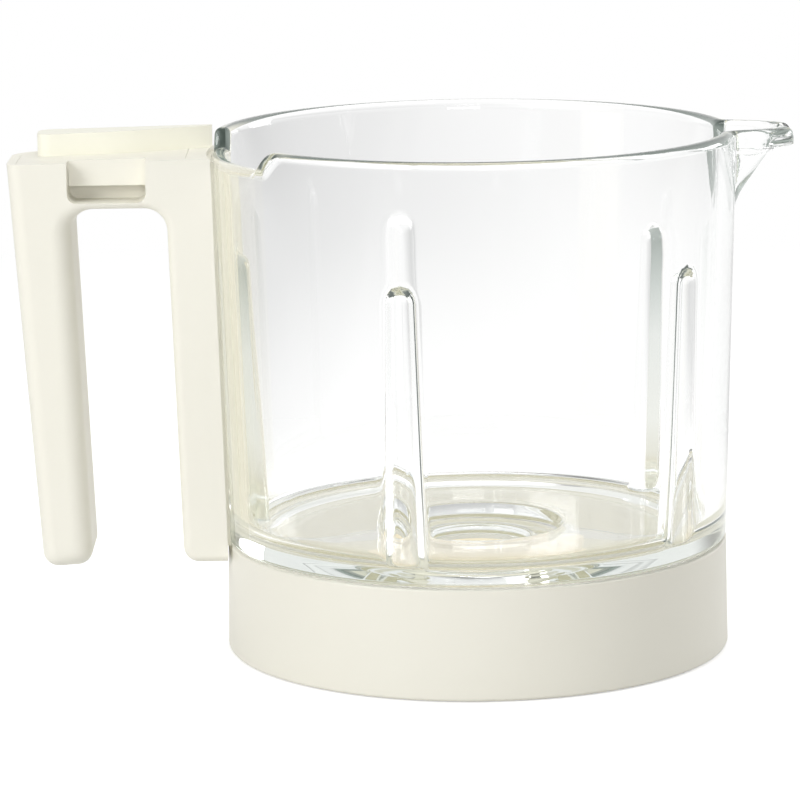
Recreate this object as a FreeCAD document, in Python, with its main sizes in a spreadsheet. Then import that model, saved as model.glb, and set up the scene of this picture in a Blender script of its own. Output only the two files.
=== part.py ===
import FreeCAD, Part
import math
import os
import Sketcher

# Glass bowl of a baby food maker, with its plastic handle and its turn-off plastic base.
# Millimetres, +Z up. The axis of the bowl is Z and the table is z = 0.
# The spout points along +X and the handle along -X.

doc = FreeCAD.newDocument("FoodMakerBowl")

# Driving sizes, in millimetres, degrees and counts.
SIZES = (
    # Glass bowl
    ("bowl_height", 135.8),
    ("wall_flare", 2.6),
    ("rim_wall", 4.2),
    ("floor_wall", 5.0),
    ("rim_round", 1.5),
    ("rim_blank", 4.0),
    ("floor_level", 32.0),
    ("floor_thickness", 7.0),
    ("floor_corner", 6.0),
    ("well_radius", 22.5),
    ("well_slope", 1.4),
    ("well_depth", 4.0),
    ("well_round", 0.9),
    ("blade_bore", 13.8),
    ("shoulder_round", 1.4),
    # Foot of the glass and its turn-lock lugs
    ("foot_level", 12.6),
    ("foot_wall", 4.4),
    ("lug_count", 4),
    ("lug_angle", 24.0),
    ("lug_lift", 0.8),
    ("lug_height", 3.6),
    ("lug_reach", 2.2),
    # Inner ribs
    ("rib_count", 5),
    ("rib_radius", 3.4),
    ("rib_foot_radius", 5.0),
    ("rib_drop", 35.2),
    ("rib_lean", 1.9),
    ("rib_sink", 0.4),
    # Spout
    ("spout_reach", 15.0),
    ("spout_width", 15.0),
    ("spout_tip", 12.0),
    ("lip_height", 5.4),
    ("lip_overhang", 5.6),
    ("lip_wall", 3.4),
    ("channel_tip", 8.4),
    ("groove_radius", 4.0),
    ("groove_lift", 1.2),
    ("keel_drop", 20.5),
    ("keel_width", 6.0),
    ("keel_tip", 4.0),
    ("lip_round", 2.2),
    # Notch in the rim at the handle
    ("notch_depth", 5.2),
    ("notch_near", 43.0),
    ("notch_far", 10.0),
    ("notch_step", 2.5),
    ("notch_round", 2.6),
    # Rail that carries the handle
    ("rail_width", 9.0),
    ("rail_reach", 3.6),
    ("rail_sink", 1.0),
    ("rail_foot", 40.0),
    ("rail_top", 104.0),
    # Base
    ("base_radius", 66.0),
    ("skirt_flare", 0.5),
    ("skirt_height", 28.5),
    ("skirt_wall", 2.4),
    ("skirt_round", 1.0),
    ("web_thickness", 2.4),
    ("web_hole", 17.2),
    ("web_ribs", 12),
    ("web_rib_width", 1.6),
    ("web_rib_inset", 1.5),
    ("web_rib_start", 33.0),
    ("catch_height", 3.0),
    ("stop_angle", 3.0),
    ("gasket_thickness", 2.1),
    ("gasket_wall", 5.6),
    # Hub
    ("hub_radius", 19.0),
    ("hub_wall", 2.2),
    ("hub_bore", 6.0),
    ("flange_radius", 30.0),
    ("flange_thickness", 2.2),
    ("seal_thickness", 1.0),
    ("seal_width", 3.6),
    ("screw_count", 3),
    ("screw_circle", 24.8),
    ("screw_radius", 1.5),
    ("screw_length", 11.0),
    ("head_radius", 2.8),
    ("head_height", 1.9),
    ("boss_radius", 3.4),
    ("boss_height", 9.0),
    # Handle
    ("handle_drop", 6.1),
    ("top_rise", 0.9),
    ("bridge_depth", 11.8),
    ("handle_width", 28.0),
    ("handle_wall", 2.4),
    ("bridge_wall", 1.6),
    ("leg_depth", 11.2),
    ("finger_gap", 24.9),
    ("finger_gap_foot", 23.9),
    ("grip_depth", 15.15),
    ("grip_foot", 12.75),
    ("grip_level", 23.8),
    ("leg_level", 24.7),
    ("grip_floor", 3.0),
    ("bridge_round", 6.0),
    ("foot_round", 4.0),
    ("edge_round", 2.2),
    ("grip_round", 3.8),
    ("finger_round", 5.0),
    ("back_round", 10.0),
    ("pad_thickness", 1.2),
    ("pad_width", 24.0),
    # Latch recess in the near side of the bridge
    ("recess_width", 20.2),
    ("recess_inset", 5.1),
    ("recess_depth", 6.0),
    ("recess_round", 2.4),
    ("slot_height", 3.9),
    ("slot_depth", 5.0),
    # Cap and lid stop
    ("cap_thickness", 2.2),
    ("tongue_thickness", 1.8),
    ("stop_height", 5.7),
    ("stop_start", 6.8),
    ("stop_front", 1.5),
    ("stop_middle", 3.9),
    ("stop_end", 10.8),
    ("stop_margin", 0.8),
    ("stop_round", 3.4),
    ("stop_bend_radius", 60.0),
    ("peg_radius", 2.0),
    ("peg_length", 3.2),
    ("peg_spread", 19.0),
    ("peg_shift", 6.5),
    # Clearances
    ("seat_gap", 0.3),
    ("side_gap", 0.4),
    ("run_gap", 0.05),
    ("fit_gap", 0.1),
    ("turn_gap", 0.4),
    # How far shapes run into each other, and how far an opening runs out of what it opens
    ("overlap", 1.0),
    ("overcut", 5.0),
)

# Places and sizes that follow from the driving sizes.
PLACES = (
    ("shoulder_radius", "Sizes.base_radius - Sizes.skirt_flare"),
    ("rim_radius", "shoulder_radius + Sizes.wall_flare"),
    ("shoulder_level", "Sizes.skirt_height + Sizes.seat_gap"),
    ("wall_rise", "Sizes.bowl_height - shoulder_level"),
    ("floor_under", "Sizes.floor_level - Sizes.floor_thickness"),
    ("floor_radius", "shoulder_radius - Sizes.floor_wall"),
    ("well_level", "Sizes.floor_level - Sizes.well_depth"),
    ("skirt_inside", "shoulder_radius - Sizes.skirt_wall"),
    ("lug_radius", "skirt_inside - Sizes.side_gap"),
    ("foot_radius", "lug_radius - Sizes.lug_reach"),
    ("foot_inside", "foot_radius - Sizes.foot_wall"),
    ("lug_level", "Sizes.foot_level + Sizes.lug_lift"),
    ("lug_top", "lug_level + Sizes.lug_height"),
    ("catch_level", "lug_top + Sizes.run_gap"),
    ("catch_inside", "foot_radius + Sizes.side_gap"),
    ("stop_turn", "(Sizes.lug_angle + Sizes.stop_angle) / 2 + Sizes.turn_gap"),
    ("gasket_inside", "foot_radius - Sizes.gasket_wall"),
    ("gasket_top", "Sizes.foot_level - Sizes.run_gap"),
    ("web_top", "gasket_top - Sizes.gasket_thickness"),
    ("web_under", "web_top - Sizes.web_thickness"),
    ("seal_top", "floor_under - Sizes.run_gap"),
    ("hub_top", "seal_top - Sizes.seal_thickness"),
    ("seal_inside", "Sizes.blade_bore + Sizes.overlap / 2"),
    ("seal_outside", "seal_inside + Sizes.seal_width"),
    ("flange_top", "web_top + Sizes.flange_thickness"),
    ("boss_top", "flange_top + Sizes.boss_height"),
    ("rib_top", "Sizes.bowl_height - Sizes.rib_drop"),
    ("rib_length", "rib_top - Sizes.floor_level + Sizes.overlap"),
    ("rib_place", "floor_radius - Sizes.rib_sink"),
    ("rib_crown_place", "rib_place + rib_length * sin(Sizes.rib_lean)"),
    ("rib_crown_level", "Sizes.floor_level - Sizes.overlap + rib_length * cos(Sizes.rib_lean)"),
    ("rail_back", "0 - rim_radius - Sizes.rail_reach"),
    ("rail_root", "Sizes.rail_sink - shoulder_radius"),
    ("blank_level", "Sizes.bowl_height + Sizes.rim_blank"),
    ("trim_reach", "rim_radius + Sizes.rim_blank"),
    ("notch_level", "Sizes.bowl_height - Sizes.notch_depth"),
    ("lip_level", "Sizes.bowl_height - Sizes.lip_height"),
    ("keel_level", "Sizes.bowl_height - Sizes.keel_drop"),
    ("spout_root", "rim_radius - 2 * Sizes.rim_wall"),
    ("spout_end", "rim_radius + Sizes.spout_reach"),
    ("keel_end", "spout_end - Sizes.lip_overhang"),
    ("keel_upper_width", "Sizes.spout_width - Sizes.lip_overhang / 2"),
    ("keel_upper_tip", "Sizes.spout_tip - Sizes.lip_overhang / 4"),
    ("keel_foot_end", "shoulder_radius + Sizes.wall_flare * (keel_level - shoulder_level) / wall_rise"),
    ("channel_end", "spout_end - Sizes.lip_wall"),
    ("channel_width", "Sizes.spout_width - Sizes.lip_wall"),
    ("channel_level", "keel_level + Sizes.rim_wall / 2"),
    ("channel_foot_end", "keel_foot_end - Sizes.rim_wall"),
    ("channel_foot_tip", "Sizes.keel_tip / 2"),
    ("channel_foot_width", "Sizes.keel_width / 2"),
    ("top_level", "Sizes.bowl_height - Sizes.handle_drop"),
    ("top_end", "top_level + Sizes.top_rise"),
    ("bridge_level", "top_level - Sizes.bridge_depth"),
    ("bridge_floor", "bridge_level + Sizes.bridge_wall"),
    ("gap_right", "0 - rim_radius - Sizes.leg_depth"),
    ("gap_left", "gap_right - Sizes.finger_gap"),
    ("grip_out", "gap_left - Sizes.grip_depth"),
    ("gap_right_foot", "0 - shoulder_radius - Sizes.leg_depth"),
    ("gap_left_foot", "gap_right_foot - Sizes.finger_gap_foot"),
    ("grip_out_foot", "gap_left_foot - Sizes.grip_foot"),
    ("grip_lean", "(grip_out_foot - grip_out) / (bridge_level - Sizes.grip_level)"),
    ("grip_top", "grip_out - grip_lean * Sizes.bridge_depth"),
    ("half_width", "Sizes.handle_width / 2"),
    ("room_half", "half_width - Sizes.handle_wall"),
    ("room_round", "Sizes.back_round - Sizes.handle_wall"),
    ("back_across", "grip_top - Sizes.overcut * grip_lean + Sizes.back_round - Sizes.seat_gap"),
    ("back_deep", "half_width - Sizes.back_round + Sizes.seat_gap"),
    ("room_left", "grip_top + Sizes.handle_wall"),
    ("room_right", "0 - rim_radius - Sizes.pad_thickness - 2 * Sizes.handle_wall"),
    ("top_slope", "Sizes.top_rise / (0 - rim_radius - grip_top)"),
    ("recess_right", "gap_right - Sizes.recess_inset"),
    ("recess_left", "recess_right - Sizes.recess_width"),
    ("recess_back", "half_width - Sizes.recess_depth"),
    ("slot_back", "recess_back - Sizes.slot_depth"),
    ("tongue_level", "bridge_floor + Sizes.slot_height"),
    ("stop_left", "grip_top + Sizes.stop_start"),
    ("stop_right", "0 - rim_radius"),
    ("stop_back", "half_width - Sizes.stop_margin"),
    ("peg_middle", "(stop_left + stop_right) / 2 - Sizes.peg_shift"),
    ("peg_deep", "room_half - 2 * Sizes.peg_radius"),
)


def fill_sheet(name, rows):
    """Write names and values into a new sheet, one row each."""
    sheet = doc.addObject("Spreadsheet::Sheet", name)
    for number, (alias, content) in enumerate(rows, start=1):
        sheet.set("A%d" % number, alias)
        sheet.setAlias("B%d" % number, alias)
        text = str(content)
        sheet.set("B%d" % number, text if name == "Sizes" else "=" + text)
    doc.recompute()
    return sheet


sizes = fill_sheet("Sizes", SIZES)
places = fill_sheet("Places", PLACES)


def value(name):
    """Read a size or a place as a number."""
    sheet = sizes if name in dict(SIZES) else places
    return float(sheet.get(name))


def bound(name):
    """Expression that reads a size or a place from its sheet."""
    return ("Sizes." if name in dict(SIZES) else "Places.") + name


def wall_at(level):
    """Expression for the outside radius of the glass wall at a height."""
    rise = "(%s - Places.shoulder_level) / Places.wall_rise" % level
    return "(Places.shoulder_radius + Sizes.wall_flare * %s)" % rise


def room_at(level):
    """Expression for the inside radius of the glass wall at a height."""
    rise = "(%s - Sizes.floor_level) / (Sizes.bowl_height - Sizes.floor_level)" % level
    return "(Places.floor_radius + (Sizes.wall_flare + Sizes.floor_wall - Sizes.rim_wall) * %s)" % rise


def top_at(along):
    """Expression for the height of the sloping handle top at a place along X."""
    return "(Places.top_level + Places.top_slope * (%s - Places.grip_top))" % along


def new_body(name):
    """Start a sub-part."""
    body = doc.addObject("PartDesign::Body", name)
    body.Label = name
    return body


def origin_item(body, role):
    """Find a plane or an axis of the body's own origin."""
    return [item for item in body.Origin.OriginFeatures if item.Role == role][0]


def new_sketch(body, name, role, offset=None):
    """Start a sketch on an origin plane, moved along its normal by an expression."""
    sketch = body.newObject("Sketcher::SketchObject", name)
    sketch.AttachmentSupport = [(origin_item(body, role), "")]
    sketch.MapMode = "FlatFace"
    if offset is not None:
        sketch.setExpression("AttachmentOffset.Base.z", offset)
    return sketch


def fix_point(sketch, edge, end, across, up):
    """Bind the two coordinates of a point to expressions."""
    spot = sketch.getPoint(edge, end)
    for kind, now, text in (("DistanceX", spot.x, across), ("DistanceY", spot.y, up)):
        number = sketch.addConstraint(Sketcher.Constraint(kind, edge, end, now))
        sketch.setExpression("Constraints[%d]" % number, text)


def polygon(sketch, corners):
    """Close a ring of straight edges through corners given as pairs of expressions."""
    count = len(corners)
    ring = []
    for number in range(count):
        turn = 2 * math.pi * number / count
        ring.append(FreeCAD.Vector(50 * math.cos(turn), 50 * math.sin(turn), 0))
    for number in range(count):
        sketch.addGeometry(Part.LineSegment(ring[number], ring[(number + 1) % count]))
    for number in range(count):
        following = (number + 1) % count
        sketch.addConstraint(Sketcher.Constraint("Coincident", number, 2, following, 1))
    for number, (across, up) in enumerate(corners):
        fix_point(sketch, number, 1, across, up)
    return sketch


def circle(sketch, across, up, radius):
    """Add a circle whose centre and radius are expressions."""
    edge = sketch.addGeometry(Part.Circle(FreeCAD.Vector(1, 1, 0), FreeCAD.Vector(0, 0, 1), 1))
    fix_point(sketch, edge, 3, across, up)
    number = sketch.addConstraint(Sketcher.Constraint("Radius", edge, 1.0))
    sketch.setExpression("Constraints[%d]" % number, radius)
    return sketch


def teardrop(sketch, root, half, end, tip):
    """Outline of the spout from above: two sides that run into a round tip, by size names."""
    wide, radius = value(half), value(tip)
    centre = value(end) - radius
    back = value(root) - centre
    touch = math.atan2(wide, back) - math.acos(radius / math.hypot(back, wide))
    low = FreeCAD.Vector(value(root), -wide, 0)
    high = FreeCAD.Vector(value(root), wide, 0)
    touch_low = FreeCAD.Vector(centre + radius * math.cos(touch), -radius * math.sin(touch), 0)
    touch_high = FreeCAD.Vector(touch_low.x, -touch_low.y, 0)
    ring = Part.Circle(FreeCAD.Vector(centre, 0, 0), FreeCAD.Vector(0, 0, 1), radius)
    sketch.addGeometry(Part.LineSegment(low, touch_low))
    sketch.addGeometry(Part.ArcOfCircle(ring, -touch, touch))
    sketch.addGeometry(Part.LineSegment(touch_high, high))
    sketch.addGeometry(Part.LineSegment(high, low))
    sketch.addConstraint(Sketcher.Constraint("Tangent", 0, 2, 1, 1))
    sketch.addConstraint(Sketcher.Constraint("Tangent", 1, 2, 2, 1))
    sketch.addConstraint(Sketcher.Constraint("Coincident", 2, 2, 3, 1))
    sketch.addConstraint(Sketcher.Constraint("Coincident", 3, 2, 0, 1))
    fix_point(sketch, 0, 1, bound(root), "0 - " + bound(half))
    fix_point(sketch, 2, 2, bound(root), bound(half))
    fix_point(sketch, 1, 3, "%s - %s" % (bound(end), bound(tip)), "0")
    number = sketch.addConstraint(Sketcher.Constraint("Radius", 1, radius))
    sketch.setExpression("Constraints[%d]" % number, bound(tip))
    return sketch


def revolve(body, name, sketch, angle=None, cut=False):
    """Turn a sketch about the upright axis, all round or evenly to both sides."""
    kind = "PartDesign::Groove" if cut else "PartDesign::Revolution"
    feature = body.newObject(kind, name)
    feature.Profile = sketch
    feature.ReferenceAxis = (origin_item(body, "Z_Axis"), [""])
    if angle is None:
        feature.Angle = 360
    else:
        feature.Midplane = True
        feature.setExpression("Angle", angle)
    doc.recompute()
    return feature


def extrude(body, name, sketch, length, cut=False, both=False, flip=False):
    """Pad or pocket a sketch, to one side or evenly to both."""
    feature = body.newObject("PartDesign::Pocket" if cut else "PartDesign::Pad", name)
    feature.Profile = sketch
    feature.setExpression("Length", length)
    if both:
        feature.SideType = "Symmetric"
    feature.Reversed = flip
    doc.recompute()
    return feature


def loft(body, name, first, second):
    """Join two outlines with straight sides."""
    feature = body.newObject("PartDesign::AdditiveLoft", name)
    feature.Profile = first
    feature.Sections = [second]
    feature.Ruled = True
    doc.recompute()
    return feature


def repeat_round(body, name, originals, count):
    """Repeat features evenly round the upright axis."""
    feature = body.newObject("PartDesign::PolarPattern", name)
    feature.Originals = originals
    feature.Axis = (origin_item(body, "Z_Axis"), [""])
    feature.Angle = 360
    feature.setExpression("Occurrences", count)
    body.Tip = feature
    doc.recompute()
    return feature


def round_edges(body, name, radius, test):
    """Fillet the edges of the body that pass a test."""
    base = body.Tip
    edges = base.Shape.Edges
    names = ["Edge%d" % number for number, edge in enumerate(edges, start=1) if test(edge)]
    if not names:
        raise RuntimeError("no edge found for %s" % name)
    feature = body.newObject("PartDesign::Fillet", name)
    feature.Base = (base, names)
    feature.setExpression("Radius", radius)
    doc.recompute()
    return feature


def soften(base, name, radius, test):
    """Round the edges of a finished object that pass a test, by the name of a size."""
    return soften_along(base, name, lambda point: value(radius), test)


def soften_along(base, name, radius_at, test):
    """Round edges that pass a test, with the radius that belongs to the place of each end."""
    doc.recompute()
    chosen = []
    for number, edge in enumerate(base.Shape.Edges, start=1):
        if test(edge):
            first, last = (radius_at(edge.valueAt(place)) for place in edge.ParameterRange)
            chosen.append((number, first, last))
    if not chosen:
        raise RuntimeError("no edge found for %s" % name)
    feature = doc.addObject("Part::Fillet", name)
    feature.Base = base
    feature.Edges = chosen
    doc.recompute()
    return feature


def cut(base, tool, name):
    """Take one object out of another."""
    feature = doc.addObject("Part::Cut", name)
    feature.Base = base
    feature.Tool = tool
    doc.recompute()
    return feature


def join(base, tool, name):
    """Join two objects into one."""
    feature = doc.addObject("Part::Fuse", name)
    feature.Base = base
    feature.Tool = tool
    feature.Refine = True
    doc.recompute()
    return feature


def block(name, across, deep, upright):
    """Box between pairs of expressions along the three axes."""
    feature = doc.addObject("Part::Box", name)
    sides = (("Length", "x", across), ("Width", "y", deep), ("Height", "z", upright))
    for side, axis, (low, high) in sides:
        feature.setExpression("Placement.Base." + axis, low)
        feature.setExpression(side, "(%s) - (%s)" % (high, low))
    return feature


def close_to(first, second, slack=0.02):
    """Tell whether two lengths are the same."""
    return abs(first - second) < slack


def middle(edge):
    """Point half way along an edge."""
    return edge.valueAt((edge.FirstParameter + edge.LastParameter) / 2)


def ring_at(radius, level):
    """Test for full or part circles about the upright axis."""
    def test(edge):
        point = middle(edge)
        flat = edge.BoundBox.ZLength < 0.02
        return flat and close_to(point.z, level) and close_to(math.hypot(point.x, point.y), radius)
    return test


def line_along_y(across, level):
    """Test for straight edges that run along Y at a place in the side view."""
    def test(edge):
        box = edge.BoundBox
        point = middle(edge)
        straight = box.XLength < 0.02 and box.ZLength < 0.02
        return straight and close_to(point.x, across) and close_to(point.z, level)
    return test


def upright_edge(across, deep):
    """Test for upright edges at a place in the view from above."""
    def test(edge):
        box = edge.BoundBox
        point = middle(edge)
        straight = box.XLength < 0.02 and box.YLength < 0.02
        return straight and close_to(point.x, across) and close_to(point.y, deep)
    return test


def any_of(*tests):
    """Join several tests into one."""
    return lambda edge: any(test(edge) for test in tests)


def glass_bowl():
    """Pressed glass bowl: wall, rounded rim with its notch, and the spout."""
    glass = soften(bowl_wall(), "notch_corners", "notch_round", across_notch)
    glass = soften(glass, "rim_edges", "rim_round", along_rim)
    glass = join(glass, spout_mass(), "glass_with_spout")
    glass = cut(glass, spout_channel(), "glass_with_channel")
    glass = cut(glass, pouring_groove(), "glass_bowl")
    glass.Label = "glass_bowl"
    return glass


def bowl_wall():
    """Wall, stepped floor and foot of the bowl, with ribs, rail and lugs."""
    body = new_body("bowl_wall")
    outside = polygon(new_sketch(body, "bowl_outside", "XZ_Plane"), (
        ("0", "Places.floor_under"),
        ("Places.foot_inside", "Places.floor_under"),
        ("Places.foot_inside", "Sizes.foot_level"),
        ("Places.foot_radius", "Sizes.foot_level"),
        ("Places.foot_radius", "Places.shoulder_level"),
        ("Places.shoulder_radius", "Places.shoulder_level"),
        (wall_at("Places.blank_level"), "Places.blank_level"),
        ("0", "Places.blank_level"),
    ))
    revolve(body, "bowl_mass", outside)
    shoulder = ring_at(value("shoulder_radius"), value("shoulder_level"))
    round_edges(body, "shoulder_edge", "Sizes.shoulder_round", shoulder)
    inside = polygon(new_sketch(body, "bowl_inside", "XZ_Plane"), (
        ("0", "Places.floor_under - Sizes.overlap"),
        ("Sizes.blade_bore", "Places.floor_under - Sizes.overlap"),
        ("Sizes.blade_bore", "Places.well_level"),
        ("Sizes.well_radius - Sizes.well_slope", "Places.well_level"),
        ("Sizes.well_radius", "Sizes.floor_level"),
        ("Places.floor_radius", "Sizes.floor_level"),
        (room_at("(Places.blank_level + Sizes.overlap)"), "Places.blank_level + Sizes.overlap"),
        ("0", "Places.blank_level + Sizes.overlap"),
    ))
    revolve(body, "bowl_room", inside, cut=True)
    corner = ring_at(value("floor_radius"), value("floor_level"))
    round_edges(body, "floor_edge", "Sizes.floor_corner", corner)
    well = any_of(
        ring_at(value("well_radius"), value("floor_level")),
        ring_at(value("blade_bore"), value("well_level")),
    )
    round_edges(body, "well_edge", "Sizes.well_round", well)
    add_ribs(body)
    add_rail(body)
    add_lugs(body)
    trim_rim(body)
    return body


def trim_rim(body):
    """Level the rim and cut its notch beside the handle, with a ramp at the near end."""
    reach, lift = "Places.trim_reach", "Sizes.bowl_height + 2 * Sizes.rim_blank"
    front = polygon(new_sketch(body, "rim_front", "YZ_Plane"), (
        ("0 - " + reach, "Sizes.bowl_height"),
        (reach, "Sizes.bowl_height"),
        (reach, lift),
        ("0 - " + reach, lift),
    ))
    extrude(body, "front_trim", front, reach, cut=True, flip=True)
    back = polygon(new_sketch(body, "rim_back", "YZ_Plane"), (
        ("0 - " + reach, "Sizes.bowl_height"),
        ("0 - Sizes.notch_near", "Sizes.bowl_height"),
        ("Sizes.notch_depth - Sizes.notch_near", "Places.notch_level"),
        ("Sizes.notch_far - Sizes.notch_step", "Places.notch_level"),
        ("Sizes.notch_far", "Sizes.bowl_height"),
        (reach, "Sizes.bowl_height"),
        (reach, lift),
        ("0 - " + reach, lift),
    ))
    extrude(body, "back_trim", back, reach, cut=True)


def across_notch(edge):
    """Test for the four edges of the notch that cross the rim."""
    box = edge.BoundBox
    straight = box.YLength < 0.02 and box.ZLength < 0.02 and box.XMax < 0
    return straight and box.ZMin > value("notch_level") - 0.1


def along_rim(edge):
    """Test for the edges that follow the rim outside and inside."""
    point = middle(edge)
    level = point.z
    rise = (level - value("shoulder_level")) / value("wall_rise")
    outer = value("shoulder_radius") + value("wall_flare") * rise
    taper = value("wall_flare") + value("floor_wall") - value("rim_wall")
    depth = (level - value("floor_level")) / (value("bowl_height") - value("floor_level"))
    inner = value("floor_radius") + taper * depth
    radius = math.hypot(point.x, point.y)
    high = edge.BoundBox.ZMin > value("notch_level") - 0.1
    return high and (close_to(radius, outer) or close_to(radius, inner))


def spout_mass():
    """Lip and keel of the spout, rooted in the wall."""
    lip = new_body("lip_blank")
    outline = new_sketch(lip, "lip_outline", "XY_Plane", "Places.lip_level")
    teardrop(outline, "spout_root", "spout_width", "spout_end", "spout_tip")
    extrude(lip, "lip", outline, "Sizes.lip_height")

    def lip_edge(edge):
        return edge.BoundBox.ZLength < 0.02 and middle(edge).x > value("spout_root") + 0.5

    lip = soften(lip, "lip_rounded", "lip_round", lip_edge)
    keel = new_body("keel_blank")
    upper = new_sketch(keel, "keel_upper", "XY_Plane", "Places.lip_level + Sizes.lip_round")
    teardrop(upper, "spout_root", "keel_upper_width", "keel_end", "keel_upper_tip")
    lower = new_sketch(keel, "keel_lower", "XY_Plane", "Places.keel_level")
    teardrop(lower, "spout_root", "keel_width", "keel_foot_end", "keel_tip")
    loft(keel, "keel", upper, lower)
    low, high = "(Places.keel_level - Sizes.overcut)", "(Sizes.bowl_height + Sizes.overcut)"
    room = doc.addObject("Part::Cone", "spout_inside")
    room.setExpression("Radius1", room_at(low) + " + Sizes.rim_wall / 2")
    room.setExpression("Radius2", room_at(high) + " + Sizes.rim_wall / 2")
    room.setExpression("Height", "%s - %s" % (high, low))
    room.setExpression("Placement.Base.z", low)
    return cut(join(lip, keel, "spout_blank"), room, "spout_mass")


def spout_channel():
    """Pouring channel that falls from the lip to the inside of the wall."""
    body = new_body("spout_channel")
    upper = new_sketch(body, "channel_upper", "XY_Plane", "Sizes.bowl_height + Sizes.overlap")
    teardrop(upper, "spout_root", "channel_width", "channel_end", "channel_tip")
    lower = new_sketch(body, "channel_lower", "XY_Plane", "Places.channel_level")
    teardrop(lower, "spout_root", "channel_foot_width", "channel_foot_end", "channel_foot_tip")
    loft(body, "channel", upper, lower)
    return body


def pouring_groove():
    """Shallow groove that leads over the tip of the lip."""
    groove = doc.addObject("Part::Cylinder", "pouring_groove")
    groove.Placement = FreeCAD.Placement(
        FreeCAD.Vector(), FreeCAD.Rotation(FreeCAD.Vector(0, 1, 0), 90))
    groove.setExpression("Radius", "Sizes.groove_radius")
    groove.setExpression("Height", "2 * Sizes.lip_wall + 2 * Sizes.channel_tip")
    groove.setExpression("Placement.Base.x", "Places.channel_end - 2 * Sizes.channel_tip")
    groove.setExpression("Placement.Base.z", "Sizes.bowl_height + Sizes.groove_lift")
    return groove


def add_ribs(body):
    """Round-topped ribs that stand up the inside of the wall."""
    shaft = body.newObject("PartDesign::AdditiveCone", "rib_shaft")
    crown = body.newObject("PartDesign::AdditiveSphere", "rib_crown")
    lean = FreeCAD.Rotation(FreeCAD.Vector(0, -1, 0), 1.0)
    for piece, along, level in (
        (shaft, "0 - Places.rib_place", "Sizes.floor_level - Sizes.overlap"),
        (crown, "0 - Places.rib_crown_place", "Places.rib_crown_level"),
    ):
        piece.AttachmentSupport = [(origin_item(body, "XY_Plane"), "")]
        piece.MapMode = "FlatFace"
        piece.AttachmentOffset = FreeCAD.Placement(FreeCAD.Vector(), lean)
        piece.setExpression("AttachmentOffset.Base.x", along)
        piece.setExpression("AttachmentOffset.Base.z", level)
        piece.setExpression("AttachmentOffset.Rotation.Angle", "Sizes.rib_lean")
    shaft.setExpression("Radius1", "Sizes.rib_foot_radius")
    shaft.setExpression("Radius2", "Sizes.rib_radius")
    shaft.setExpression("Height", "Places.rib_length")
    crown.setExpression("Radius", "Sizes.rib_radius")
    doc.recompute()
    repeat_round(body, "ribs", [shaft, crown], "Sizes.rib_count")


def add_rail(body):
    """Upright rail on the outside of the wall that the handle fits over."""
    outline = polygon(new_sketch(body, "rail_outline", "XY_Plane", "Sizes.rail_foot"), (
        ("Places.rail_back", "0 - Sizes.rail_width / 2"),
        ("Places.rail_root", "0 - Sizes.rail_width / 2"),
        ("Places.rail_root", "Sizes.rail_width / 2"),
        ("Places.rail_back", "Sizes.rail_width / 2"),
    ))
    extrude(body, "rail", outline, "Sizes.rail_top - Sizes.rail_foot")


def add_lugs(body):
    """Lugs round the foot that the base turns under."""
    outline = polygon(new_sketch(body, "lug_outline", "XZ_Plane"), (
        ("Places.foot_radius - Sizes.overlap", "Places.lug_level"),
        ("Places.lug_radius", "Places.lug_level"),
        ("Places.lug_radius", "Places.lug_top"),
        ("Places.foot_radius - Sizes.overlap", "Places.lug_top"),
    ))
    lug = revolve(body, "lug", outline, "Sizes.lug_angle")
    repeat_round(body, "lugs", [lug], "Sizes.lug_count")


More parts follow.
